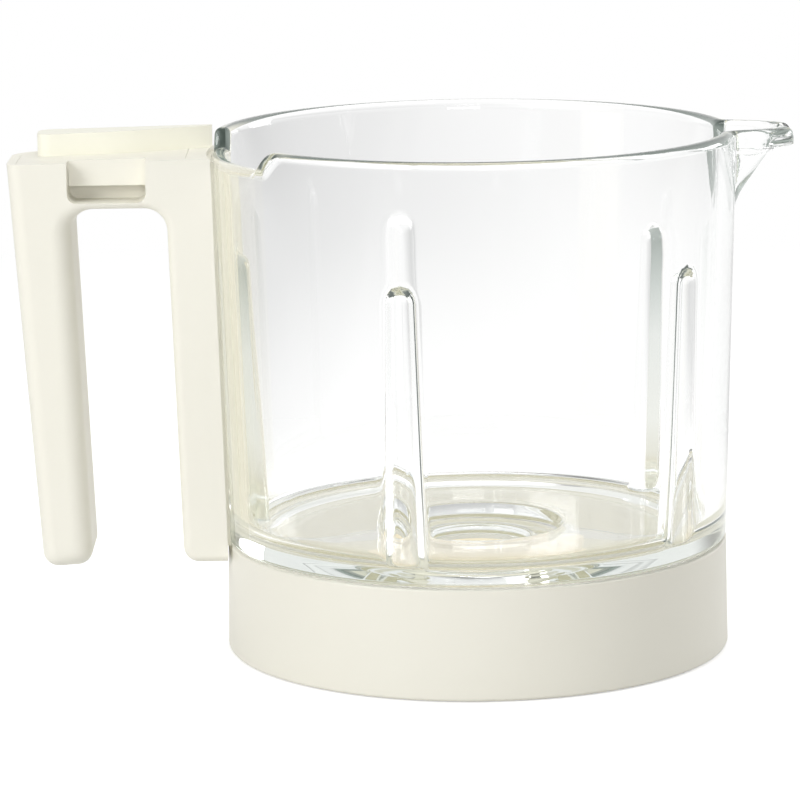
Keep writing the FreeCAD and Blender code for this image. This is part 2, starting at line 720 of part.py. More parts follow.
def base_ring():
    """Skirt and web of the base, with catches over the lugs and stiffening ribs."""
    body = new_body("base_ring")
    section = polygon(new_sketch(body, "ring_section", "XZ_Plane"), (
        ("Sizes.base_radius", "0"),
        ("Places.shoulder_radius", "Sizes.skirt_height"),
        ("Places.skirt_inside", "Sizes.skirt_height"),
        ("Places.skirt_inside", "Places.web_top"),
        ("Sizes.web_hole", "Places.web_top"),
        ("Sizes.web_hole", "Places.web_under"),
        ("Places.skirt_inside", "Places.web_under"),
        ("Places.skirt_inside", "0"),
    ))
    revolve(body, "ring", section)
    outer = ring_at(value("base_radius"), 0)
    round_edges(body, "skirt_edge", "Sizes.skirt_round", outer)
    upper = ring_at(value("shoulder_radius"), value("skirt_height"))
    round_edges(body, "skirt_top_edge", "Sizes.skirt_round / 2", upper)
    catch = polygon(new_sketch(body, "catch_section", "XZ_Plane"), (
        ("Places.catch_inside", "Places.catch_level"),
        ("Places.skirt_inside + Sizes.overlap / 2", "Places.catch_level"),
        ("Places.skirt_inside + Sizes.overlap / 2", "Places.catch_level + Sizes.catch_height"),
        ("Places.catch_inside", "Places.catch_level + Sizes.catch_height"),
    ))
    hook = revolve(body, "catch", catch, "Sizes.lug_angle")
    stop = new_sketch(body, "stop_section", "XZ_Plane")
    upright = FreeCAD.Vector(0, 1, 0)
    stop.AttachmentOffset = FreeCAD.Placement(FreeCAD.Vector(), FreeCAD.Rotation(upright, 1.0))
    stop.setExpression("AttachmentOffset.Rotation.Angle", "Places.stop_turn")
    polygon(stop, (
        ("Places.catch_inside", "Places.lug_level"),
        ("Places.skirt_inside + Sizes.overlap / 2", "Places.lug_level"),
        ("Places.skirt_inside + Sizes.overlap / 2", "Places.catch_level + Sizes.catch_height"),
        ("Places.catch_inside", "Places.catch_level + Sizes.catch_height"),
    ))
    lip = revolve(body, "catch_stop", stop, "Sizes.stop_angle")
    repeat_round(body, "catches", [hook, lip], "Sizes.lug_count")
    rib = polygon(new_sketch(body, "web_rib_outline", "XY_Plane", "Sizes.web_rib_inset"), (
        ("Sizes.web_rib_start", "0 - Sizes.web_rib_width / 2"),
        ("Places.skirt_inside + Sizes.overlap / 2", "0 - Sizes.web_rib_width / 2"),
        ("Places.skirt_inside + Sizes.overlap / 2", "Sizes.web_rib_width / 2"),
        ("Sizes.web_rib_start", "Sizes.web_rib_width / 2"),
    ))
    bar = extrude(body, "web_rib", rib, "Places.web_under - Sizes.web_rib_inset + Sizes.overlap / 2")
    repeat_round(body, "web_ribs_all", [bar], "Sizes.web_ribs")
    add_holes(body, "Sizes.screw_radius + Sizes.fit_gap", "Places.web_under - Sizes.overlap",
              "Sizes.web_thickness + 2 * Sizes.overlap")
    return body


def add_holes(body, radius, level, depth):
    """Cut the ring of screw holes upward from a level."""
    outline = circle(new_sketch(body, "screw_hole_outline", "XY_Plane", level),
                     "Sizes.screw_circle", "0", radius)
    hole = extrude(body, "screw_hole", outline, depth, cut=True, flip=True)
    repeat_round(body, "screw_holes", [hole], "Sizes.screw_count")


def hub_insert():
    """Hub under the blade bore, with a flange and screw bosses."""
    body = new_body("hub_insert")
    section = polygon(new_sketch(body, "hub_section", "XZ_Plane"), (
        ("Sizes.hub_bore", "Places.hub_top"),
        ("Sizes.hub_radius", "Places.hub_top"),
        ("Sizes.hub_radius", "Places.flange_top"),
        ("Sizes.flange_radius", "Places.flange_top"),
        ("Sizes.flange_radius", "Places.web_top"),
        ("Sizes.hub_radius - Sizes.hub_wall", "Places.web_top"),
        ("Sizes.hub_radius - Sizes.hub_wall", "Places.hub_top - Sizes.hub_wall"),
        ("Sizes.hub_bore", "Places.hub_top - Sizes.hub_wall"),
    ))
    revolve(body, "hub", section)
    outline = circle(new_sketch(body, "boss_outline", "XY_Plane", "Places.web_top + Sizes.overlap / 2"),
                     "Sizes.screw_circle", "0", "Sizes.boss_radius")
    boss = extrude(body, "boss", outline, "Places.boss_top - Places.web_top - Sizes.overlap / 2")
    repeat_round(body, "bosses", [boss], "Sizes.screw_count")
    add_holes(body, "Sizes.screw_radius + Sizes.run_gap", "Places.web_top - Sizes.overlap",
              "Sizes.screw_length - Sizes.web_thickness + 2 * Sizes.overlap")
    return body


def soft_ring(name, inside, outside, low, high):
    """Flat soft ring of rectangular section."""
    body = new_body(name)
    section = polygon(new_sketch(body, name + "_section", "XZ_Plane"), (
        (inside, low),
        (outside, low),
        (outside, high),
        (inside, high),
    ))
    revolve(body, name + "_ring", section)
    return body


def hub_screws():
    """Screws that pass up through the web into the hub, as one group."""
    head = doc.addObject("Part::Cylinder", "screw_head")
    head.setExpression("Radius", "Sizes.head_radius")
    head.setExpression("Height", "Sizes.head_height")
    head.setExpression("Placement.Base.z", "Places.web_under - Sizes.head_height")
    shank = doc.addObject("Part::Cylinder", "screw_shank")
    shank.setExpression("Radius", "Sizes.screw_radius")
    shank.setExpression("Height", "Sizes.screw_length")
    shank.setExpression("Placement.Base.z", "Places.web_under")
    for piece in (head, shank):
        piece.setExpression("Placement.Base.x", "Sizes.screw_circle")
    screw = doc.addObject("Part::Fuse", "screw")
    screw.Base = head
    screw.Tool = shank
    doc.recompute()
    copies = []
    count = int(value("screw_count"))
    for number in range(count):
        copy = screw.Shape.copy()
        copy.rotate(FreeCAD.Vector(), FreeCAD.Vector(0, 0, 1), 360 * number / count)
        copies.append(copy)
    group = doc.addObject("Part::Feature", "hub_screws")
    group.Label = "hub_screws"
    group.Shape = Part.makeCompound(copies)
    return group


def handle_shell():
    """Hollow handle: grip, bridge and the leg that fits over the rail."""
    solid = cut(handle_outside(), glass_seat(), "handle_seated")
    solid = cut(solid, handle_room(), "handle_hollow")
    solid = join(solid, handle_ledge(), "handle_with_ledge")
    solid = join(solid, recess_cheeks(), "handle_with_cheeks")
    solid = cut(solid, recess_window(), "handle_with_recess")
    width = "Sizes.rail_width / 2 + Sizes.fit_gap"
    groove = block("rail_groove", ("Places.rail_back - Sizes.fit_gap", "0"),
                   ("0 - (%s)" % width, width),
                   ("Sizes.rail_foot - Sizes.fit_gap", "Sizes.rail_top + Sizes.fit_gap"))
    shell = cut(solid, groove, "handle_shell")
    shell.Label = "handle_shell"
    return shell


def handle_outside():
    """Outside of the handle with all its rounded edges."""
    inner = "0 - Places.floor_radius"
    body = new_body("handle_mass")
    side = polygon(new_sketch(body, "side_outline", "XZ_Plane"), (
        ("Places.grip_top", "Places.top_level"),
        ("Places.grip_out_foot", "Sizes.grip_level"),
        ("Places.gap_left_foot", "Sizes.grip_level"),
        ("Places.gap_left", "Places.bridge_level"),
        ("Places.gap_right", "Places.bridge_level"),
        ("Places.gap_right_foot", "Sizes.leg_level"),
        (inner, "Sizes.leg_level"),
        (inner, top_at(inner)),
    ))
    extrude(body, "side", side, "Sizes.handle_width", both=True)
    outer = value("grip_out_foot")
    solid = soften(body, "bridge_corners", "bridge_round", any_of(
        line_along_y(value("gap_left"), value("bridge_level")),
        line_along_y(value("gap_right"), value("bridge_level")),
    ))
    solid = soften(solid, "foot_corners", "foot_round", any_of(
        line_along_y(outer, value("grip_level")),
        line_along_y(value("gap_left_foot"), value("grip_level")),
        line_along_y(value("gap_right_foot"), value("leg_level")),
    ))

    def face_edge(edge):
        point = middle(edge)
        on_face = edge.BoundBox.YLength < 0.02 and close_to(abs(point.y), value("half_width"))
        under_top = point.z < value("top_level") - 0.5
        return on_face and under_top and point.x < value("gap_right_foot") + 1

    def radius_here(point):
        if point.x > value("gap_left") + value("bridge_round") / 2:
            return value("edge_round")
        on_finger_side = point.x > value("gap_left") - value("grip_foot") / 2
        return value("finger_round" if on_finger_side else "grip_round")

    solid = soften_along(solid, "handle_edges", radius_here, face_edge)
    return cut(solid, grip_back(), "handle_outside")


def grip_back():
    """Corner taken off the far side of the grip, which leaves it broadly rounded."""
    body = new_body("grip_back")
    sketch = new_sketch(body, "grip_back_outline", "XY_Plane", "Places.top_level + Sizes.overcut")
    radius, out = value("back_round"), 2 * value("overcut")
    across, deep = value("back_across"), value("back_deep")
    high = FreeCAD.Vector(across, deep + radius, 0)
    low = FreeCAD.Vector(across - radius, deep, 0)
    ring = Part.Circle(FreeCAD.Vector(across, deep, 0), FreeCAD.Vector(0, 0, 1), radius)
    sketch.addGeometry(Part.ArcOfCircle(ring, math.pi / 2, math.pi))
    corners = (low, low - FreeCAD.Vector(out, 0, 0), high + FreeCAD.Vector(-radius - out, out, 0),
               high + FreeCAD.Vector(0, out, 0), high)
    for first, second in zip(corners, corners[1:]):
        sketch.addGeometry(Part.LineSegment(first, second))
    for edge in range(5):
        sketch.addConstraint(Sketcher.Constraint("Coincident", edge, 2, (edge + 1) % 5, 1))
    fix_point(sketch, 0, 3, "Places.back_across", "Places.back_deep")
    fix_point(sketch, 0, 2, "Places.back_across - Sizes.back_round", "Places.back_deep")
    fix_point(sketch, 1, 2, "Places.back_across - Sizes.back_round - 2 * Sizes.overcut", "Places.back_deep")
    fix_point(sketch, 3, 1, "Places.back_across - Sizes.back_round - 2 * Sizes.overcut",
              "Places.back_deep + Sizes.back_round + 2 * Sizes.overcut")
    fix_point(sketch, 3, 2, "Places.back_across", "Places.back_deep + Sizes.back_round + 2 * Sizes.overcut")
    sketch.addConstraint(Sketcher.Constraint("Vertical", 4))
    pad = body.newObject("PartDesign::Pad", "grip_back_mass")
    pad.Profile = sketch
    pad.UseCustomVector = True
    pad.Direction = FreeCAD.Vector(value("grip_lean"), 0, -1)
    pad.setExpression("Direction.x", "Places.grip_lean")
    pad.AlongSketchNormal = True
    pad.setExpression("Length", "Places.top_level - Sizes.grip_level + 2 * Sizes.overcut")
    doc.recompute()
    return body


def tall_edge(deep, limit):
    """Test for the long edge down the outside of the grip."""
    def test(edge):
        point = middle(edge)
        return edge.BoundBox.ZLength > 50 and close_to(point.y, deep) and point.x < limit
    return test


def glass_seat():
    """Cone that shapes the leg to the wall of the bowl, with room for the pad."""
    low, high = "(Sizes.leg_level - Sizes.overcut)", "(Places.top_end + Sizes.overcut)"
    cone = doc.addObject("Part::Cone", "glass_seat")
    cone.setExpression("Radius1", wall_at(low) + " + Sizes.pad_thickness")
    cone.setExpression("Radius2", wall_at(high) + " + Sizes.pad_thickness")
    cone.setExpression("Height", "%s - %s" % (high, low))
    cone.setExpression("Placement.Base.z", low)
    return cone


def handle_room():
    """Room inside the grip and the bridge, open at the top."""
    lift = "Places.top_level + Sizes.overcut"
    body = new_body("handle_room_mass")
    room = polygon(new_sketch(body, "room_outline", "XZ_Plane"), (
        ("Places.room_left - Sizes.overcut * Places.grip_lean", lift),
        ("Places.grip_out_foot + Sizes.handle_wall", "Sizes.grip_level + Sizes.grip_floor"),
        ("Places.gap_left_foot - Sizes.handle_wall", "Sizes.grip_level + Sizes.grip_floor"),
        ("Places.gap_left - Sizes.handle_wall", "Places.bridge_floor"),
        ("Places.room_right", "Places.bridge_floor"),
        ("Places.room_right", lift),
    ))
    extrude(body, "room", room, "2 * Places.room_half", both=True)
    corner = tall_edge(value("room_half"), value("grip_out_foot"))
    return soften(body, "handle_room", "room_round", corner)


def handle_ledge():
    """Ledge along the far wall that carries the cap."""
    body = new_body("handle_ledge")
    ledge = new_sketch(body, "ledge_outline", "XZ_Plane", "0 - Places.room_half - Sizes.overlap / 2")
    slab(ledge, "Places.recess_left", "Places.room_right + Sizes.overlap / 2",
         "Places.tongue_level", "Sizes.cap_thickness")
    extrude(body, "ledge", ledge, "Sizes.bridge_wall")
    return body


def slab(sketch, left, right, low, below):
    """Four-sided side view whose upper edge runs under the sloping top of the handle."""
    return polygon(sketch, (
        (left, low),
        (right, low),
        (right, "%s - %s" % (top_at(right), below)),
        (left, "%s - %s" % (top_at(left), below)),
    ))


def recess_cheeks():
    """Mass round the latch recess and its slot that the window is cut from."""
    body = new_body("recess_cheeks")
    cheeks = new_sketch(body, "cheek_outline", "XZ_Plane", "Places.room_half + Sizes.overlap / 2")
    slab(cheeks, "(Places.recess_left - Sizes.handle_wall)",
         "(Places.recess_right + Sizes.handle_wall)",
         "Places.bridge_floor - Sizes.overlap / 2", "Sizes.cap_thickness")
    depth = "Places.room_half + Sizes.overlap / 2 - Places.slot_back + Sizes.bridge_wall"
    extrude(body, "cheeks", cheeks, depth, flip=True)
    return body


def recess_window():
    """Room of the latch recess and of the slot behind it, round at its lower corners."""
    window = block("recess_opening", ("Places.recess_left", "Places.recess_right"),
                   ("0 - 2 * Places.half_width", "0 - Places.slot_back"),
                   ("Places.bridge_floor", "Places.top_end + Sizes.overcut"))
    doc.recompute()
    return soften(window, "recess_window", "recess_round", any_of(
        line_along_y(value("recess_left"), value("bridge_floor")),
        line_along_y(value("recess_right"), value("bridge_floor")),
    ))


def handle_cap():
    """Shelf that closes the top of the handle, with the tongue behind the recess."""
    body = new_body("handle_cap")
    left = "(Places.room_left + Sizes.fit_gap)"
    right = "(Places.room_right - Sizes.fit_gap)"
    plate = new_sketch(body, "plate_outline", "XZ_Plane")
    low_left = "(%s + Places.grip_lean * Sizes.cap_thickness)" % left
    polygon(plate, (
        (left, top_at(left)),
        (low_left, top_at(low_left) + " - Sizes.cap_thickness"),
        (right, top_at(right) + " - Sizes.cap_thickness"),
        (right, top_at(right)),
    ))
    extrude(body, "plate", plate, "2 * (Places.room_half - Sizes.fit_gap)", both=True)

    def back_corner(edge):
        point = middle(edge)
        steep = edge.BoundBox.ZLength > 1 and edge.BoundBox.YLength < 0.02
        return steep and point.y > 0 and point.x < value("room_left") + 2

    radius = "Sizes.back_round - Sizes.handle_wall - Sizes.fit_gap"
    round_edges(body, "plate_corner", radius, back_corner)
    opening = new_sketch(body, "opening_outline", "XZ_Plane", "Places.half_width")
    polygon(opening, (
        ("Places.recess_left", "Places.bridge_floor"),
        ("Places.recess_right", "Places.bridge_floor"),
        ("Places.recess_right", "Places.top_end + Sizes.overcut"),
        ("Places.recess_left", "Places.top_end + Sizes.overcut"),
    ))
    extrude(body, "opening", opening, "Sizes.recess_depth", cut=True)
    tongue = new_sketch(body, "tongue_outline", "XZ_Plane", "Places.recess_back")
    slab(tongue, "(Places.recess_left + Sizes.fit_gap)", "(Places.recess_right - Sizes.fit_gap)",
         "Places.tongue_level", "Sizes.cap_thickness / 2")
    extrude(body, "tongue", tongue, "Sizes.tongue_thickness", flip=True)
    for side in ("-", "+"):
        name = "peg_hole_left" if side == "-" else "peg_hole_right"
        outline = circle(new_sketch(body, name + "_outline", "XY_Plane", "Places.top_end + Sizes.overcut"),
                         peg_place(side), "Places.peg_deep", "Sizes.peg_radius + Sizes.run_gap")
        extrude(body, name, outline, "4 * Sizes.overcut", cut=True)
    return body


def peg_place(side):
    """Expression for the place along X of one of the two pegs of the lid stop."""
    return "(Places.peg_middle %s Sizes.peg_spread / 2)" % side


def lid_stop():
    """Raised block on the far half of the cap, held by two pegs."""
    body = new_body("lid_stop")
    plan = polygon(new_sketch(body, "stop_plan", "XY_Plane", "Places.top_level - Sizes.overcut"), (
        ("Places.stop_left", "Sizes.stop_front"),
        ("(Places.stop_left + Places.stop_right) / 2", "Sizes.stop_middle"),
        ("Places.stop_right", "Sizes.stop_end"),
        ("Places.stop_right", "Places.stop_back"),
        ("Places.stop_left", "Places.stop_back"),
    ))
    extrude(body, "stop_block", plan, "Sizes.stop_height + 3 * Sizes.overcut")
    left, right = "(Places.stop_left - Sizes.overcut)", "(Places.stop_right + Sizes.overcut)"
    for name, near, far in (
        ("stop_top", "Sizes.stop_height", "6 * Sizes.overcut"),
        ("stop_foot", "0", "0 - 2 * Sizes.overcut"),
    ):
        outline = polygon(new_sketch(body, name + "_outline", "XZ_Plane"), (
            (left, "%s + %s" % (top_at(left), near)),
            (right, "%s + %s" % (top_at(right), near)),
            (right, "%s + %s" % (top_at(right), far)),
            (left, "%s + %s" % (top_at(left), far)),
        ))
        extrude(body, name, outline, "4 * Places.half_width", cut=True, both=True)
    bend = (value("stop_left") + value("stop_right")) / 2
    round_edges(body, "stop_bend", "Sizes.stop_bend_radius", upright_edge(bend, value("stop_middle")))
    ends = any_of(
        upright_edge(value("stop_left"), value("stop_front")),
        upright_edge(value("stop_left"), value("stop_back")),
    )
    round_edges(body, "stop_ends", "Sizes.stop_round", ends)
    for side in ("-", "+"):
        name = "peg_left" if side == "-" else "peg_right"
        outline = circle(new_sketch(body, name + "_outline", "XY_Plane", "Places.top_end + Sizes.overlap"),
                         peg_place(side), "Places.peg_deep", "Sizes.peg_radius")
        extrude(body, name, outline, "Sizes.peg_length + Sizes.overlap", flip=True)
    return body


def handle_pad():
    """Soft strip between the leg of the handle and the glass."""
    body = new_body("handle_pad")
    low, high = "(Sizes.leg_level + Sizes.foot_round)", "(Places.notch_level - Sizes.overlap)"
    inside, outside = "Sizes.run_gap", "(Sizes.pad_thickness - Sizes.run_gap)"
    section = polygon(new_sketch(body, "pad_section", "XZ_Plane"), (
        ("0 - %s - %s" % (wall_at(low), outside), low),
        ("0 - %s - %s" % (wall_at(low), inside), low),
        ("0 - %s - %s" % (wall_at(high), inside), high),
        ("0 - %s - %s" % (wall_at(high), outside), high),
    ))
    revolve(body, "pad", section, "2 * asin(Sizes.pad_width / 2 / Places.rim_radius)")
    window = polygon(new_sketch(body, "pad_window", "YZ_Plane"), (
        ("0 - Sizes.rail_width / 2 - Sizes.fit_gap", "Sizes.rail_foot - Sizes.fit_gap"),
        ("Sizes.rail_width / 2 + Sizes.fit_gap", "Sizes.rail_foot - Sizes.fit_gap"),
        ("Sizes.rail_width / 2 + Sizes.fit_gap", "Sizes.rail_top + Sizes.fit_gap"),
        ("0 - Sizes.rail_width / 2 - Sizes.fit_gap", "Sizes.rail_top + Sizes.fit_gap"),
    ))
    extrude(body, "pad_opening", window, "2 * Places.rim_radius", cut=True)
    return body


def write_out(pieces):
    """Check every object of the document, then write one file for each piece."""
    doc.recompute()
    for item in doc.Objects:
        if "Invalid" in item.State or "Error" in item.State:
            raise RuntimeError("%s is in error" % item.Name)
    os.makedirs("parts", exist_ok=True)
    for piece in pieces:
        shape = piece.Shape
        if shape.isNull() or not shape.isValid() or not shape.Solids:
            raise RuntimeError("%s has no good solid" % piece.Label)
        shape.exportStep("parts/%s.step" % piece.Label)
        print("%s: %d solid(s), %.0f mm3" % (piece.Label, len(shape.Solids), shape.Volume))


write_out((
    glass_bowl(),
    base_ring(),
    soft_ring("foot_gasket", "Places.gasket_inside", "Places.foot_radius",
              "Places.web_top", "Places.gasket_top"),
    hub_insert(),
    soft_ring("hub_seal", "Places.seal_inside", "Places.seal_outside",
              "Places.hub_top", "Places.seal_top"),
    hub_screws(),
    handle_shell(),
    handle_cap(),
    lid_stop(),
    handle_pad(),
))
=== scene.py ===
"""Clear pressed glass bowl with an ivory handle and a turn-off base: looks, camera and studio."""

import logging
import math
from dataclasses import dataclass
from enum import Enum
from typing import Any, NamedTuple

import bpy
import numpy as np
from mathutils import Matrix, Vector


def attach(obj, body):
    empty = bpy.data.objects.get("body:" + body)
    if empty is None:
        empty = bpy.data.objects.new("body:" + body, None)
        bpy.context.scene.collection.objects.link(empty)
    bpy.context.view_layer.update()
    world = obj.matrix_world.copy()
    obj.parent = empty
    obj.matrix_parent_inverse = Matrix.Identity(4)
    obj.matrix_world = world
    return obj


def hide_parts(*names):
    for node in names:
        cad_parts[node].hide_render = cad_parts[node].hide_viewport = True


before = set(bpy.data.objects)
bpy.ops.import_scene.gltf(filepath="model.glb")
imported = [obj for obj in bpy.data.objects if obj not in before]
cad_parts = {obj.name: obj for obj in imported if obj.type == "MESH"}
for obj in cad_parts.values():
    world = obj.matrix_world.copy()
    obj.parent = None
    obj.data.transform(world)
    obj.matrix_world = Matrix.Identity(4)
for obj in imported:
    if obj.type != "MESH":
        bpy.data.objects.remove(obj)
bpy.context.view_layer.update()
MM = 0.001
# Slack in millimetres where sizes are compared
HAIR = 0.01

log = logging.getLogger("glass_bowl")

Colour = tuple[float, float, float, float]
Stops = tuple[tuple[float, Colour], ...]
Point = tuple[float, float]
BLACK: Colour = (0.0, 0.0, 0.0, 1.0)
WHITE: Colour = (1.0, 1.0, 1.0, 1.0)


def tone(red: int, green: int, blue: int) -> Colour:
    """Linear colour of a display colour.

    Args:
        red: red from 0 to 255.
        green: green from 0 to 255.
        blue: blue from 0 to 255.

    Returns:
        The linear colour, with full alpha.
    """
    def linear(level: int) -> float:
        """Linear value of one display level."""
        share = level / 255
        return share / 12.92 if share <= 0.04045 else ((share + 0.055) / 1.055) ** 2.4

    return (linear(red), linear(green), linear(blue), 1.0)


class Blend(Enum):
    """Ways to mix two colours."""

    COVER = "MIX"
    TIMES = "MULTIPLY"


class Wire:
    """A shader output that takes part in sums written in Python."""

    def __init__(self, graph: "Graph", socket: bpy.types.NodeSocket) -> None:
        """Keeps the output and the graph that it belongs to."""
        self.graph = graph
        self.socket = socket

    def _join(self, operation: str, first: "Wire | float", second: "Wire | float") -> "Wire":
        """Adds one Math node.

        Args:
            operation: the Math node's operation.
            first: its first value.
            second: its second value.

        Returns:
            The node's output.
        """
        made = self.graph.node("ShaderNodeMath", {"operation": operation}, {0: first, 1: second})
        return Wire(self.graph, made.outputs[0])

    def __add__(self, other: "Wire | float") -> "Wire":
        """Sum."""
        return self._join("ADD", self, other)

    def __radd__(self, other: float) -> "Wire":
        """Sum with a number in front."""
        return self._join("ADD", other, self)

    def __sub__(self, other: "Wire | float") -> "Wire":
        """Difference."""
        return self._join("SUBTRACT", self, other)

    def __rsub__(self, other: float) -> "Wire":
        """Difference from a number."""
        return self._join("SUBTRACT", other, self)

    def __mul__(self, other: "Wire | float") -> "Wire":
        """Product."""
        return self._join("MULTIPLY", self, other)

    def __rmul__(self, other: float) -> "Wire":
        """Product with a number in front."""
        return self._join("MULTIPLY", other, self)

    def __or__(self, other: "Wire") -> "Wire":
        """Larger of two masks."""
        return self._join("MAXIMUM", self, other)


class Graph:
    """Node tree of one material or of the world."""

    def __init__(self, tree: bpy.types.NodeTree) -> None:
        """Takes a node tree and empties it."""
        self.tree = tree
        tree.nodes.clear()

    def node(self, kind: str, settings: dict[str, Any] | None = None,
             sockets: dict[str | int, Any] | None = None) -> bpy.types.Node:
        """Adds any node.

        Args:
            kind: type of the node.
            settings: properties of the node, set first; "stops" fills a colour ramp.
            sockets: values or links of its inputs, by name or number.

        Returns:
            The node.
        """
        made = self.tree.nodes.new(kind)
        for name, setting in (settings or {}).items():
            if name == "stops":
                self._fill_ramp(made.color_ramp, setting)
            else:
                setattr(made, name, setting)
        for key, given in (sockets or {}).items():
            if isinstance(given, Wire):
                self.tree.links.new(given.socket, made.inputs[key])
            elif isinstance(given, bpy.types.NodeSocket):
                self.tree.links.new(given, made.inputs[key])
            else:
                made.inputs[key].default_value = given
        return made

    def wire(self, kind: str, output: str | int, settings: dict[str, Any] | None = None,
             sockets: dict[str | int, Any] | None = None) -> Wire:
        """Adds any node and gives one of its outputs.

        Args:
            kind: type of the node.
            output: name or number of the output.
            settings: properties of the node.
            sockets: values or links of its inputs.

        Returns:
            The output, ready for sums.
        """
        return Wire(self, self.node(kind, settings, sockets).outputs[output])

    @staticmethod
    def _fill_ramp(ramp: bpy.types.ColorRamp, stops: Stops) -> None:
        """Gives a colour ramp its stops.

        Args:
            ramp: the ramp, with its two first stops.
            stops: place and colour of each stop, in order.
        """
        while len(ramp.elements) < len(stops):
            ramp.elements.new(1.0)
        for element, (place, colour) in zip(ramp.elements, stops):
            element.position = place
            element.color = colour

    def noise(self, scale: float, detail: float = 2.0,
              stretch: tuple[float, float, float] = (1.0, 1.0, 1.0)) -> Wire:
        """Noise over the piece's own coordinates.

        Args:
            scale: waves per metre.
            detail: octaves.
            stretch: factors on the three axes.

        Returns:
            The noise, from 0 to 1 and about 0.5 in the middle.
        """
        place = self.wire("ShaderNodeTexCoord", "Object")
        scaled = self.wire("ShaderNodeMapping", "Vector", None, {"Vector": place, "Scale": stretch})
        return self.wire("ShaderNodeTexNoise", "Fac", None,
                         {"Vector": scaled, "Scale": scale, "Detail": detail})

    def size(self, value: Wire) -> Wire:
        """Value without its sign."""
        return self.wire("ShaderNodeMath", 0, {"operation": "ABSOLUTE"}, {0: value})

    def above(self, value: bpy.types.NodeSocket, limit: float) -> Wire:
        """Mask of where a value is above a limit."""
        return self.wire("ShaderNodeMath", 0, {"operation": "GREATER_THAN"}, {0: value, 1: limit})

    def split(self, vector: Wire) -> tuple[Wire, ...]:
        """The three parts of a vector."""
        parts = self.node("ShaderNodeSeparateXYZ", None, {0: vector})
        return tuple(Wire(self, part) for part in parts.outputs)

    def ramp(self, value: Wire, stops: Stops) -> bpy.types.NodeSocket:
        """Colour that changes with a value.

        Args:
            value: where the ramp is read.
            stops: value and colour of each stop, in order.

        Returns:
            The colour.
        """
        top = stops[-1][0]
        shares = tuple((place / top, colour) for place, colour in stops)
        return self.node("ShaderNodeValToRGB", {"stops": shares}, {0: value * (1.0 / top)}).outputs[0]

    def mix(self, factor: Wire | float, first: Any, second: Any,
            blend: Blend = Blend.COVER) -> bpy.types.NodeSocket:
        """Mixes two colours.

        Args:
            factor: share of the second.
            first: first colour or its output.
            second: second colour or its output.
            blend: how they are blended.

        Returns:
            The mixed colour.
        """
        return self.node("ShaderNodeMix", {"data_type": "RGBA", "blend_type": blend.value},
                         {"Factor": factor, 6: first, 7: second}).outputs[2]

    def glow(self, colour: Wire | Colour, strength: float) -> bpy.types.NodeSocket:
        """Shader that gives light of its own."""
        return self.node("ShaderNodeEmission", None, {"Color": colour, "Strength": strength}).outputs[0]

    def blend(self, factor: Wire, first: bpy.types.NodeSocket,
              second: bpy.types.NodeSocket) -> bpy.types.NodeSocket:
        """Mixes two shaders by the share of the second."""
        return self.node("ShaderNodeMixShader", None, {0: factor, 1: first, 2: second}).outputs[0]

    def relief(self, height: Wire, depth: float, strength: float) -> bpy.types.NodeSocket:
        """Normal of a surface with fine relief.

        Args:
            height: the relief, from 0 to about 1.
            depth: its depth in metres.
            strength: how much of it shows.

        Returns:
            The normal.
        """
        return self.node("ShaderNodeBump", None,
                         {"Strength": strength, "Distance": depth, "Height": height}).outputs[0]

    def cover(self, sockets: dict[str | int, Any],
              more: dict[str | int, bpy.types.NodeSocket] | None = None) -> None:
        """Adds the shader of a finish and the output of its material.

        Args:
            sockets: values or links of the shader.
            more: further links of the output.
        """
        shader = self.node("ShaderNodeBsdfPrincipled", None, sockets)
        self.node("ShaderNodeOutputMaterial", None, {"Surface": shader.outputs[0], **(more or {})})

    def painted_glow_behind_glass(self, colour: bpy.types.NodeSocket, share: float,
                     within: Colour) -> dict[str | int, Any]:
        """Colours of a pale finish, with a painted glow that stands in for the light that goes to and fro
        between it and clear glass.

        Args:
            colour: its colour in the open.
            share: how much of what the eye sees through glass is painted glow.
            within: level and tone of the painted glow.

        Returns:
            Sockets of the finish's shader.
        """
        # Painted light: rays that come through glass see part of the finish as a glow of its own colour
        behind = self.wire("ShaderNodeLightPath", "Is Transmission Ray") * share
        lit = self.mix(1.0, colour, within, Blend.TIMES)
        return {"Base Color": self.mix(behind, colour, BLACK),
                "Emission Color": self.mix(behind, BLACK, lit), "Emission Strength": 1.0}

    def step(self, value: Wire, low: float, high: float) -> Wire:
        """Soft step.

        Args:
            value: where the step is read.
            low: where it starts to rise.
            high: where it is full.

        Returns:
            The step, from 0 to 1.
        """
        return self.wire("ShaderNodeMapRange", "Result", {"interpolation_type": "SMOOTHSTEP"},
                         {"Value": value, "From Min": low, "From Max": high})


def new_material(name: str) -> tuple[bpy.types.Material, Graph]:
    """Makes an empty material.

    Args:
        name: name of the material.

    Returns:
        The material and its graph.
    """
    material = bpy.data.materials.new(name)
    material.use_nodes = True
    # The glow painted into a finish is weak, so it is not sampled as a lamp
    material.cycles.emission_sampling = "NONE"
    return material, Graph(material.node_tree)


